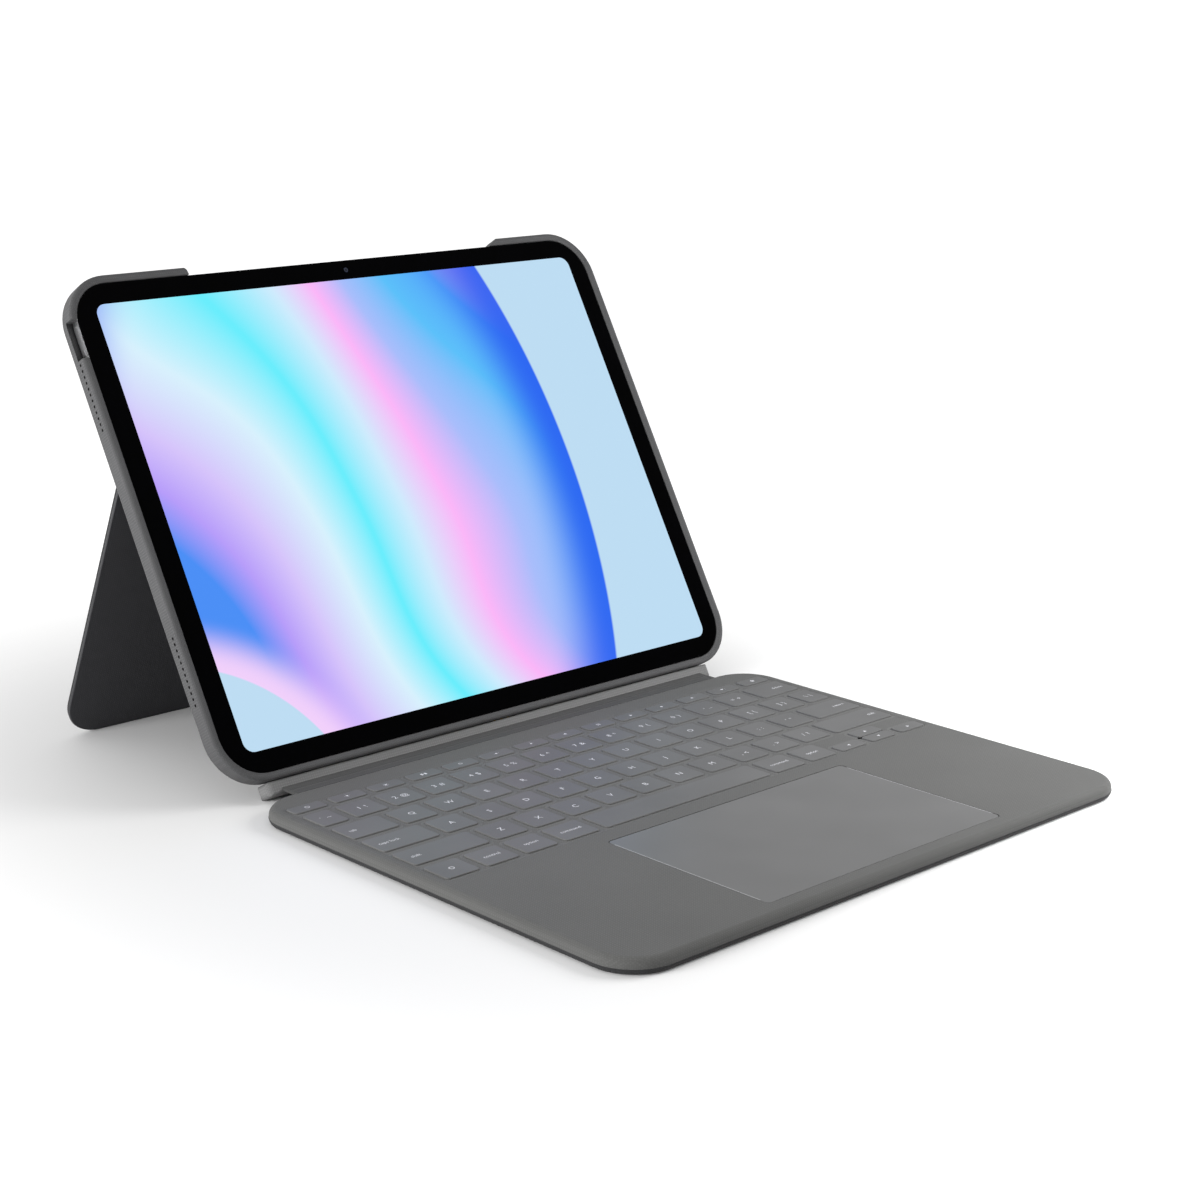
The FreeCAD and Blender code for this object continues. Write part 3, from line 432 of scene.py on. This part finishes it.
for centre, scale, radius, rim_code, rim_start in CURVES:
    off = add(tree, "ShaderNodeVectorMath", {0: flat, 1: centre}, operation="SUBTRACT").outputs[0]
    oval = add(tree, "ShaderNodeVectorMath", {0: off, 1: scale}, operation="MULTIPLY").outputs[0]
    away = add(tree, "ShaderNodeVectorMath", {0: oval}, operation="LENGTH").outputs["Value"]
    share = add(tree, "ShaderNodeMath", {0: away, 1: abs(radius)}, operation="DIVIDE").outputs[0]
    rim = add(tree, "ShaderNodeMapRange", {"Value": share, "From Min": rim_start,
                                           "From Max": 1.0, "To Max": 0.95},
              interpolation_type="SMOOTHERSTEP").outputs[0]
    edged = add(tree, "ShaderNodeMix", {0: rim, 6: picture, 7: linear(rim_code)},
                data_type="RGBA").outputs[2]
    outside = add(tree, "ShaderNodeMapRange", {
        "Value": share, "From Min": 0.992 if radius > 0 else 1.008, "From Max": 1.0}).outputs[0]
    picture = add(tree, "ShaderNodeMix", {0: outside, 6: edged, 7: linear("BEDDF3")},
                  data_type="RGBA").outputs[2]
tree.links.new(picture, surface.inputs["Emission Color"])
outline = rounded(-screen_half, screen_half, GLASS_V0 + BORDER_V, GLASS_V1 - BORDER_V,
                  SCREEN_CORNER)
picture_face = ([(x, v, PROUD) for x, v in outline], [list(range(len(outline)))])
picture_piece = piece("screen_picture", [picture_face], screen, "tablet",
                      IN_TRAY)
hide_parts("tablet_display")
print("screen:", round(2 * screen_half / MM, 1), "mm wide")

# %% [markdown]
# ## The front camera
# In the middle of the black border above the screen sits a small lens. It is a ring of dark blue
# coated glass, two flat discs that stand a hair proud of the cover glass.

# %% Front camera
LENS_DROP = 4.7 * MM
LENS_RADIUS = 1.1 * MM
IRIS_RADIUS = 0.5 * MM
lens_v = GLASS_V1 - LENS_DROP
coated, tree, surface, place = start_finish("blue-coated lens glass", Roughness=0.08, IOR=1.6,
                                            Coat_Weight=0.5)
radial = add(tree, "ShaderNodeTexNoise", {"Vector": place, "Scale": 700.0}).outputs["Fac"]
tint = add(tree, "ShaderNodeMix", {0: radial, 6: linear("0B0F1E"), 7: linear("1E2740")},
           data_type="RGBA").outputs[2]
tree.links.new(tint, surface.inputs["Base Color"])
piece("front_camera_lens", [disc(0, 0, LENS_RADIUS)], coated, "tablet",
      IN_TRAY @ Matrix.Translation((0, lens_v, PROUD)))
piece("front_camera_iris", [disc(0, 0, IRIS_RADIUS)], lens_black, "tablet",
      IN_TRAY @ Matrix.Translation((0, lens_v, 2 * PROUD)))
print("front camera", round(lens_v / MM, 1), "mm up the tray")

# %% [markdown]
# ## Key legends
# The legends are windows in the paint of each key, lit from below: thin pale letters that lie
# level with the key. They could be a texture, but then they would need an image. Blender's own
# font gives real outlines, which are turned into flat meshes and set just above each key. Where a
# group of keys is one CAD part, its separate solids are found by walking over joined edges.

# %% The keys' places
def key_tops(name):
    """The x range, y range and top of each separate key of a CAD part, from left to right."""
    walk = bmesh.new()
    walk.from_mesh(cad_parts[name].data)
    bmesh.ops.remove_doubles(walk, verts=walk.verts, dist=0.001 * MM)
    left = set(walk.verts)
    found = []
    while left:
        island, edge = set(), [left.pop()]
        while edge:
            vert = edge.pop()
            island.add(vert)
            near = {e.other_vert(vert) for e in vert.link_edges} & left
            left -= near
            edge += near
        low = [min(v.co[axis] for v in island) for axis in range(2)]
        high = [max(v.co[axis] for v in island) for axis in range(3)]
        found.append((low[0], high[0], low[1], high[1], high[2]))
    walk.free()
    return sorted(found)


print("CAD parts with keys:", len(KEYS))

# %% The words and their paint
LEGENDS = {
    "number_keys": ["` ~", "1 !", "2 @", "3 #", "4 $", "5 %", "6 ^", "7 &", "8 *", "9 (", "0 )",
                    "- _", "= +"],
    "key_delete": ["delete"], "key_tab": ["tab"],
    "qwerty_keys": list("QWERTYUIOP") + ["[ {", "] }"], "key_backslash": ["\\ |"],
    "key_caps_lock": ["caps lock"], "asdf_keys": list("ASDFGHJKL") + ["; :", "' \""],
    "key_return": ["return"], "key_left_shift": ["shift"],
    "zxcv_keys": list("ZXCVBNM") + [", <", ". >", "/ ?"], "key_right_shift": ["shift"],
    "modifier_keys": ["", "control", "option", "option"],
    "key_left_command": ["command"], "key_right_command": ["command"],
}
LETTER = 3.9 * MM
WORD = 2.7 * MM
legend_paint, tree, surface, place = start_finish("pale backlit legend", Roughness=0.5, IOR=1.5,
                                                  Emission_Strength=0.06)
worn = add(tree, "ShaderNodeTexNoise", {"Vector": place, "Scale": 600.0}).outputs["Fac"]
tint = add(tree, "ShaderNodeMix", {0: worn, 6: linear("B4B4B8"), 7: linear("D2D2D6")},
           data_type="RGBA").outputs[2]
for socket in ("Base Color", "Emission Color"):
    tree.links.new(tint, surface.inputs[socket])
print("words and letters:", sum(len(words) for words in LEGENDS.values()))


# %% Letters and signs
def lettering(words, size, x, y):
    """A word as flat points and faces, centred on x and y."""
    curve = bpy.data.curves.new("legend", "FONT")
    curve.body, curve.size, curve.resolution_u = words, size, 2
    curve.align_x, curve.align_y = "CENTER", "CENTER"
    curve.space_word = 1.6 if len(words) == 3 else 1.0
    text = bpy.data.objects.new("legend", curve)
    bpy.context.scene.collection.objects.link(text)
    seen = text.evaluated_get(bpy.context.evaluated_depsgraph_get())
    mesh = bpy.data.meshes.new_from_object(seen)
    part = ([(v.co.x + x, v.co.y + y, 0) for v in mesh.vertices],
            [list(p.vertices) for p in mesh.polygons])
    bpy.data.objects.remove(text)
    bpy.data.meshes.remove(mesh)
    return part


def bars(x, y, *boxes):
    """Small upright rectangles, each given by its centre and half sizes in millimetres."""
    return [([(x + (cx + i * w) * MM, y + (cy + j * h) * MM, 0)
              for i, j in ((-1, -1), (1, -1), (1, 1), (-1, 1))], [[0, 1, 2, 3]])
            for cx, cy, w, h in boxes]


def ring(x, y, radius, width, sides=20):
    """A flat ring as one part for piece()."""
    outer = disc(x, y, radius, sides)[0]
    inner = disc(x, y, radius - width, sides)[0]
    faces = [[i, (i + 1) % sides, sides + (i + 1) % sides, sides + i] for i in range(sides)]
    return (outer + inner, faces)


def function_sign(number, x, y):
    """A small plain sign for each key of the top row: dots, rings, triangles and bars."""
    point = disc(x, y, 0.55 * MM, 12)
    rays = [disc(x + 1.1 * MM * math.cos(a), y + 1.1 * MM * math.sin(a), 0.17 * MM, 6)
            for a in (math.tau * i / 8 for i in range(8))]
    right = disc(x, y, 1.0 * MM, 3)
    signs = ([ring(x, y, 1.1 * MM, 0.3 * MM)], [point] + rays[::2], [point] + rays,
             bars(x, y, (-0.9, 0, 0.5, 0.9), (0.9, 0, 0.5, 0.9)), [ring(x, y, 0.9 * MM, 0.3 * MM)],
             [point, rays[4], rays[0]], [point] + rays[:3], [disc(x, y, 1.0 * MM, 3, math.pi)],
             bars(x, y, (-0.5, 0, 0.22, 0.9), (0.5, 0, 0.22, 0.9)), [right],
             [disc(x - 0.4 * MM, y, 0.8 * MM, 4)], [disc(x - 0.6 * MM, y, 0.8 * MM, 4), rays[0]],
             [disc(x - 0.8 * MM, y, 0.8 * MM, 4), rays[0], rays[1], rays[7]],
             [ring(x, y, 1.0 * MM, 0.35 * MM), point])
    return signs[number]


def word_spot(name, x0, x1):
    """Words sit at the outer end of the wide keys and in the middle of the others."""
    side = {"key_tab": x0 + 5 * MM, "key_caps_lock": x0 + 8 * MM, "key_left_shift": x0 + 6 * MM,
            "key_delete": x1 - 7 * MM, "key_return": x1 - 7 * MM, "key_right_shift": x1 - 6 * MM}
    return side.get(name, (x0 + x1) / 2)


print("letters and signs ready")

# %% The legends on the keys
ARROW_TURNS = {"up": 90, "left": 180, "down": 270, "right": 0}
ARROW_RADIUS = 1.0 * MM
legend_count = 0
for name in KEYS:
    parts = []
    for number, (x0, x1, y0, y1, top) in enumerate(key_tops(name)):
        x, y = (x0 + x1) / 2, (y0 + y1) / 2
        if name == "function_keys":
            parts += function_sign(number, x, y)
        elif name.startswith("key_arrow"):
            turn = math.radians(ARROW_TURNS[name.rsplit("_", 1)[1]])
            parts.append(disc(x, y, ARROW_RADIUS, 3, turn))
        elif name == "modifier_keys" and number == 0:
            parts.append(ring(x, y, 1.2 * MM, 0.35 * MM))
        elif name in LEGENDS:
            words = LEGENDS[name][number]
            size = WORD if len(words) > 3 or words == "tab" else LETTER
            parts.append(lettering(words, size, word_spot(name, x0, x1), y))
    if parts:
        legend_count += len(parts)
        piece("legend_" + name, parts, legend_paint, name,
              Matrix.Translation((0, 0, top + PROUD)))
print("legends:", legend_count)

# %% [markdown]
# ## The skin around the keys
# The keys stand in a shallow well, and the cover's skin reaches close around each of them. On the
# CAD part each opening is wide enough to be safe in a simulation, which would leave a black
# outline round every key. So a narrow frame lies on the well's floor around each key, in a lighter
# copy of the skin that is partly the keys' own grey and partly painted light lifting the shade
# between the keys. A gentle ramp softens the well's edge, as the pressed skin does where it dips.

# %% Key frames
FRAME_GAP = 0.07 * MM
FRAME_WIDTH = 1.75 * MM
KEY_CORNER = 1.5 * MM
WELL_DEPTH = 0.3
WELL_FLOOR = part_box("deck_top")[1].z - WELL_DEPTH * MM
FRAME_DEPTH = 0.3 * MM
every_key = [spot for name in KEYS for spot in key_tops(name)]
frames = []
for x0, x1, y0, y1, top in every_key:
    loops = [rounded(x0 - grow, x1 + grow, y0 - grow, y1 + grow, KEY_CORNER + grow, 5)
             for grow in (FRAME_GAP, FRAME_GAP + FRAME_WIDTH)]
    count = len(loops[0])
    points = [(x, y, WELL_FLOOR + PROUD) for loop in loops for x, y in loop]
    points += [(x, y, WELL_FLOOR - FRAME_DEPTH) for x, y in loops[0]]
    faces = [[i, (i + 1) % count, count + (i + 1) % count, count + i] for i in range(count)]
    faces = [face[::-1] for face in faces]
    faces += [[i, (i + 1) % count, 2 * count + (i + 1) % count, 2 * count + i]
              for i in range(count)]
    frames.append((points, faces))
piece("key_frames", frames, lightened_well_skin, "deck")
print("keys:", len(every_key))

# %% The well's ramp
WELL_MARGIN = 2.0 * MM
WELL_CORNER = 3.5
well = (min(k[0] for k in every_key) - WELL_MARGIN, max(k[1] for k in every_key) + WELL_MARGIN,
        min(k[2] for k in every_key) - WELL_MARGIN, max(k[3] for k in every_key) + WELL_MARGIN)
RAMP = ((-0.25, 0.012), (0.0, 0.0), (0.35, -0.04), (0.9, -0.15), (1.4, -0.26), (1.75, -0.29))
ramp_loops = [[(x, y, WELL_FLOOR + (WELL_DEPTH + drop) * MM) for x, y in
               rounded(well[0] + inward * MM, well[1] - inward * MM, well[2] + inward * MM,
                       well[3] - inward * MM, WELL_CORNER * MM - inward * MM, 8)]
              for inward, drop in RAMP]
count = len(ramp_loops[0])
ramp_faces = [[k * count + i, k * count + (i + 1) % count, (k + 1) * count + (i + 1) % count,
               (k + 1) * count + i] for k in range(len(RAMP) - 1) for i in range(count)]
ramp_points = [point for loop in ramp_loops for point in loop]
ramp_piece = piece("well_ramp", [(ramp_points, ramp_faces)], deck_skin, "deck")
for polygon in ramp_piece.data.polygons:
    polygon.use_smooth = True
print("well:", round((well[1] - well[0]) / MM, 1), "mm wide")

# %% [markdown]
# ## The hinge strip's cloth
# Two layers of polyurethane cloth, pressed together, join the deck to the magnetic bar and bend
# where the case opens. A rigid slab would tear away from its ends when the case folds, so the
# cloth is two pieces that meet in the middle. Each is a row of quads across the strip, shaped by a
# profile: level with the deck, a shallow crease in the middle, and tucked into the bar at the back.

# %% Hinge cloth
deck_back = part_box("deck_top")[1].y
strip_low, strip_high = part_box("hinge_strip")
strip_half = strip_high.x
cloth_top = strip_high.z + 0.1 * MM
cloth_bottom = strip_low.z
middle = (strip_low.y + strip_high.y) / 2
CREASE_DEPTH = 0.35 * MM
CREASE_WIDTH = 0.9 * MM
PINCH = 0.35 * MM
PINCH_WIDTH = 0.4 * MM
ROWS = 14
COLUMNS = 24
TUCK = 1.6 * MM


def cloth_section(y0, y1):
    """The strip's upper line from y0 to y1 with its crease: (y, z of the top)."""
    line = []
    for row in range(ROWS + 1):
        y = y0 + (y1 - y0) * row / ROWS
        dip = CREASE_DEPTH * math.exp(-((y - middle) / CREASE_WIDTH) ** 2)
        line.append((y, cloth_top - dip))
    return line


def hinge_cloth(name, y0, y1):
    """A closed slab of cloth from y0 to y1."""
    section = cloth_section(y0, y1)
    section += [(y, cloth_bottom) for y, z in reversed(section)]
    count = len(section)
    edge = [-strip_half, -strip_half + PINCH_WIDTH] + [
        -strip_half + 2 * strip_half * i / COLUMNS for i in range(1, COLUMNS)] + [
        strip_half - PINCH_WIDTH, strip_half]
    points = []
    mid_z = (cloth_top + cloth_bottom) / 2
    for number, x in enumerate(edge):
        pinch = PINCH if number in (0, len(edge) - 1) else 0
        points += [(x, y, z + (pinch if z < mid_z else -pinch)) for y, z in section]
    faces = [[i * count + j, (i + 1) * count + j, (i + 1) * count + (j + 1) % count,
              i * count + (j + 1) % count] for i in range(len(edge) - 1) for j in range(count)]
    faces += [list(range(count)), [len(points) - 1 - j for j in range(count)]]
    made = piece(name, [(points, faces)], strip_cloth, None)
    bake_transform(made)
    return made


front_cloth = hinge_cloth("hinge_cloth_front", deck_back - TUCK, middle)
hinge_cloth("hinge_cloth_rear", middle, strip_high.y + TUCK)
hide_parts("hinge_strip")
print("hinge cloth:", round(2 * strip_half / MM, 1), "mm wide")

# %% [markdown]
# ## Holes and seams that repeat or follow an outline
# Behind each speaker hole lies a near-black disc, painted shade that stands in for the dark inside
# of the hole. There are four rows of them, evenly spaced, so a Geometry Nodes tree lays a line of
# points and puts a disc on each.
# The seams are the dark joint lines where two skins meet: one runs round the whole deck between
# its upper cover and its base. A second tree takes an outline and sweeps a thin round bead along
# it. Both trees end as plain meshes, because an exported model carries no instances.

# %% Geometry Nodes helpers
def tree_inputs(name, sizes):
    """A geometry tree with named inputs: a float for each size."""
    tree = bpy.data.node_groups.new(name, "GeometryNodeTree")
    tree.interface.new_socket("Geometry", in_out="INPUT", socket_type="NodeSocketGeometry")
    tree.interface.new_socket("Geometry", in_out="OUTPUT", socket_type="NodeSocketGeometry")
    for size in sizes:
        kind = "NodeSocketInt" if size.startswith("Number") else "NodeSocketFloat"
        tree.interface.new_socket(size, in_out="INPUT", socket_type=kind)
    tree.interface.new_socket("Finish", in_out="INPUT", socket_type="NodeSocketMaterial")
    return tree, add(tree, "NodeGroupInput").outputs


def end_tree(tree, shape, given):
    """Plain mesh with its finish at the end of a tree."""
    real = add(tree, "GeometryNodeRealizeInstances", {"Geometry": shape})
    painted = add(tree, "GeometryNodeSetMaterial", {"Geometry": real.outputs[0],
                                                    "Material": given["Finish"]})
    add(tree, "NodeGroupOutput", {"Geometry": painted.outputs[0]})


def grown(tree, start_mesh, **sizes):
    """The plain points and faces that a tree grows from a mesh. Sizes go in by identifier."""
    host = bpy.data.objects.new("host", start_mesh)
    bpy.context.scene.collection.objects.link(host)
    modifier = host.modifiers.new("grow", "NODES")
    modifier.node_group = tree
    for item in tree.interface.items_tree:
        if item.in_out == "INPUT" and item.name in sizes:
            modifier[item.identifier] = sizes[item.name]
    seen = host.evaluated_get(bpy.context.evaluated_depsgraph_get())
    mesh = bpy.data.meshes.new_from_object(seen)
    part = ([tuple(v.co) for v in mesh.vertices], [list(p.vertices) for p in mesh.polygons])
    bpy.data.objects.remove(host)
    bpy.data.meshes.remove(mesh)
    return part


print("tree helpers ready")

# %% The speaker discs
# Painted shade: a near-black disc just inside each speaker hole stands in for the dark inside of
# the hole.
hole_shade_black = grained("black discs, painted shade in speaker holes", "070707", "030303", 0.2, 0.05, 0.8, 0.95,
                    Specular_IOR_Level=0.1)
row_tree, given = tree_inputs("row of discs", ("Number", "Pitch", "Radius"))
step = add(row_tree, "ShaderNodeCombineXYZ", {1: given["Pitch"]})
line = add(row_tree, "GeometryNodeMeshLine", {"Count": given["Number"], "Offset": step.outputs[0]})
round_disc = add(row_tree, "GeometryNodeMeshCircle", {"Vertices": 16, "Radius": given["Radius"]},
                 fill_type="NGON")
rows_of_discs = add(row_tree, "GeometryNodeInstanceOnPoints", {
    "Points": line.outputs[0], "Instance": round_disc.outputs[0]}).outputs[0]
end_tree(row_tree, rows_of_discs, given)
HOLE_PITCH = 2.61 * MM
HOLES = 12
HOLE_START = 45.35 * MM
HOLE_DEPTH = 2.6 * MM
HOLE_RADIUS = 0.66 * MM
BACKING = 0.1 * MM
case_middle = (GLASS_V0 + GLASS_V1) / 2
discs = grown(row_tree, bpy.data.meshes.new("seed"), Number=HOLES, Pitch=HOLE_PITCH,
              Radius=HOLE_RADIUS, Finish=hole_shade_black)
parts = []
for side in (-1, 1):
    for start in (case_middle + HOLE_START, case_middle - HOLE_START - (HOLES - 1) * HOLE_PITCH):
        face = Matrix.Translation((side * (CASE_HALF - BACKING), start, -HOLE_DEPTH)) @ \
            Matrix.Rotation(side * math.pi / 2, 4, "Y")
        parts.append(([face @ Vector(p) for p in discs[0]], discs[1]))
piece("speaker_hole_painted_shade", parts, hole_shade_black, "tray", IN_TRAY)
print("speaker holes:", 4 * HOLES)

# %% The deck's seam
joint_line = grained("dark adhesive joint line", "2E2E30", "1C1C1E", 0.5, 0.02, 0.6, 0.75)
bead_tree, given = tree_inputs("bead along an outline", ("Radius",))
path = add(bead_tree, "GeometryNodeMeshToCurve", {"Mesh": given["Geometry"]})
section = add(bead_tree, "GeometryNodeCurvePrimitiveCircle", {"Resolution": 6,
                                                              "Radius": given["Radius"]})
bead = add(bead_tree, "GeometryNodeCurveToMesh", {"Curve": path.outputs[0],
                                                  "Profile Curve": section.outputs[0]})
end_tree(bead_tree, bead.outputs[0], given)


def bead_along(points, radius, material):
    """A closed bead along a loop of points."""
    loop = bpy.data.meshes.new("loop")
    loop.from_pydata(points, [(i, (i + 1) % len(points)) for i in range(len(points))], [])
    return grown(bead_tree, loop, Radius=radius, Finish=material)


base_low, base_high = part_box("deck_base")
DECK_CORNER = 19.0 * MM
SEAM_RADIUS = 0.16 * MM
deck_line = rounded(base_low.x, base_high.x, base_low.y, base_high.y, DECK_CORNER, 16)
seam = bead_along([(x, y, base_high.z) for x, y in deck_line], SEAM_RADIUS,
                  joint_line)
piece("deck_seam", [seam], joint_line, "deck")
print("seam points:", len(seam[0]))

# %% [markdown]
# ## The trackpad's bright sides
# The glass of the trackpad is cut and polished along its edges, and its left and right edges catch
# the light as two fine pale lines. The bevel on the CAD part is too small to shade by itself, so
# that
# light is painted: a thin flat strip of a pale colour, a painted highlight, lies along each of the
# two sides, a hair above the glass, and moves with the trackpad.

# %% The trackpad's bright sides
pad_low, pad_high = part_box("trackpad_surface")
HIGHLIGHT_HALF_WIDTH = 0.16
PAD_CORNER = 4.0
# Painted highlight: a pale strip along each side of the trackpad stands in for the light its
# polished edges catch.
pad_edge_highlight = grained("painted highlight, trackpad sides", "A9A9AB", "98989A", 0.3, 0.003, 0.3,
                         0.4)
pad_middle = (pad_low.y + pad_high.y) / 2
pad_run = (pad_high.y - pad_low.y) / 2 / MM - PAD_CORNER
sides = [bars(x, pad_middle, (-sign * HIGHLIGHT_HALF_WIDTH, 0, HIGHLIGHT_HALF_WIDTH, pad_run))[0]
         for x, sign in ((pad_low.x, -1), (pad_high.x, 1))]
piece("trackpad_painted_highlights", sides, pad_edge_highlight, "trackpad",
      Matrix.Translation((0, 0, pad_high.z + PROUD)))
print("trackpad:", round((pad_high.x - pad_low.x) / MM, 1), "mm wide")

# %% [markdown]
# ## Table, light and camera
# The object stands on a plain white table that has no visible end. White surroundings give soft
# light from all sides, a little stronger from above, behind and the left. The table's own shadow
# is only wanted close to the object, so the table takes on a glow of its own with distance and
# turns pure white. A small near lamp gives the deck its lighter right end, and a low one lights
# the tray's left rim. Both are hidden from reflections, so no lamp shows in the glass. The camera
# is a long lens, a little above the object, and it rolls by a quarter of a degree.

# %% Table
sweep, tree, surface, place = start_finish("matte white table", Roughness=0.6, IOR=1.45,
                                           Specular_IOR_Level=0.2)
mottle = add(tree, "ShaderNodeTexNoise", {"Vector": place, "Scale": 3.0}).outputs["Fac"]
tint = add(tree, "ShaderNodeMix", {0: mottle, 6: linear("DADADA"), 7: linear("DEDEDE")},
           data_type="RGBA").outputs[2]
tree.links.new(tint, surface.inputs["Base Color"])
SHADE_CENTRE = (-0.07, 0.0, 0.0)
away = add(tree, "ShaderNodeVectorMath", {0: place, 1: SHADE_CENTRE},
           operation="DISTANCE").outputs["Value"]
lit = add(tree, "ShaderNodeMapRange", {"Value": away, "From Min": 0.12, "From Max": 0.5,
                                       "To Max": 0.62},
          interpolation_type="SMOOTHSTEP").outputs[0]
tree.links.new(lit, surface.inputs["Emission Strength"])
surface.inputs["Emission Color"].default_value = linear("FFFFFF")
TABLE = 150.0
TABLE_DROP = 0.1 * MM
table = piece("table", [([(-TABLE, -TABLE, 0), (TABLE, -TABLE, 0), (TABLE, TABLE, 0),
                          (-TABLE, TABLE, 0)], [[0, 1, 2, 3]])], sweep, None,
              Matrix.Translation((0, 0, -TABLE_DROP)))
print("table:", 2 * TABLE, "m wide")

# %% Light
ROOM_TILT = (-0.3, 0.25, 0.3)
ROOM_LEVEL = 0.45
world = bpy.data.worlds.new("white room")
world.use_nodes = True
tree = world.node_tree
tree.nodes.clear()
toward = add(tree, "ShaderNodeTexCoord").outputs["Generated"]
side = add(tree, "ShaderNodeVectorMath", {0: toward, 1: ROOM_TILT},
           operation="DOT_PRODUCT").outputs["Value"]
glow = add(tree, "ShaderNodeMath", {0: side, 1: ROOM_LEVEL}).outputs[0]
room = add(tree, "ShaderNodeBackground", {"Color": linear("FFFFFF"), "Strength": glow})
add(tree, "ShaderNodeOutputWorld", {"Surface": room.outputs[0]})
bpy.context.scene.world = world


def lamp(name, spot, target, width, power):
    """A round soft lamp that is in no reflection and not in view. Its width is in metres."""
    light = bpy.data.lights.new(name, "AREA")
    light.energy, light.shape, light.size = power, "DISK", width
    made = bpy.data.objects.new(name, light)
    made.location = spot
    made.rotation_euler = (Vector(target) - Vector(spot)).to_track_quat("-Z", "Y").to_euler()
    made.visible_glossy = False
    made.visible_camera = False
    bpy.context.scene.collection.objects.link(made)


lamp("near lamp on the right", (0.30, -0.26, 0.24), (0.1, -0.12, 0), 0.3, 2.2)
lamp("low lamp on the left", (-0.8, 0.05, 0.22), (-0.1, -0.05, 0.03), 0.4, 6.0)
bpy.context.scene.view_settings.view_transform = "Standard"
print("lamps:", len(bpy.data.lights))

# %% Camera
camera = bpy.data.cameras.new("camera")
camera.lens = 70.86
camera.sensor_width = 36.0
camera.clip_end = 300.0
eye = Vector((-0.64665, -0.69986, 0.32354))
aim = Vector((0.11660, 0.11056, 0.02954))
ROLL = math.radians(0.256)
seer = bpy.data.objects.new("camera", camera)
look = (aim - eye).to_track_quat("-Z", "Y").to_matrix().to_4x4()
seer.matrix_world = Matrix.Translation(eye) @ look @ Matrix.Rotation(ROLL, 4, "Z")
bpy.context.scene.collection.objects.link(seer)
bpy.context.scene.camera = seer
print("camera at", [round(c, 3) for c in eye])
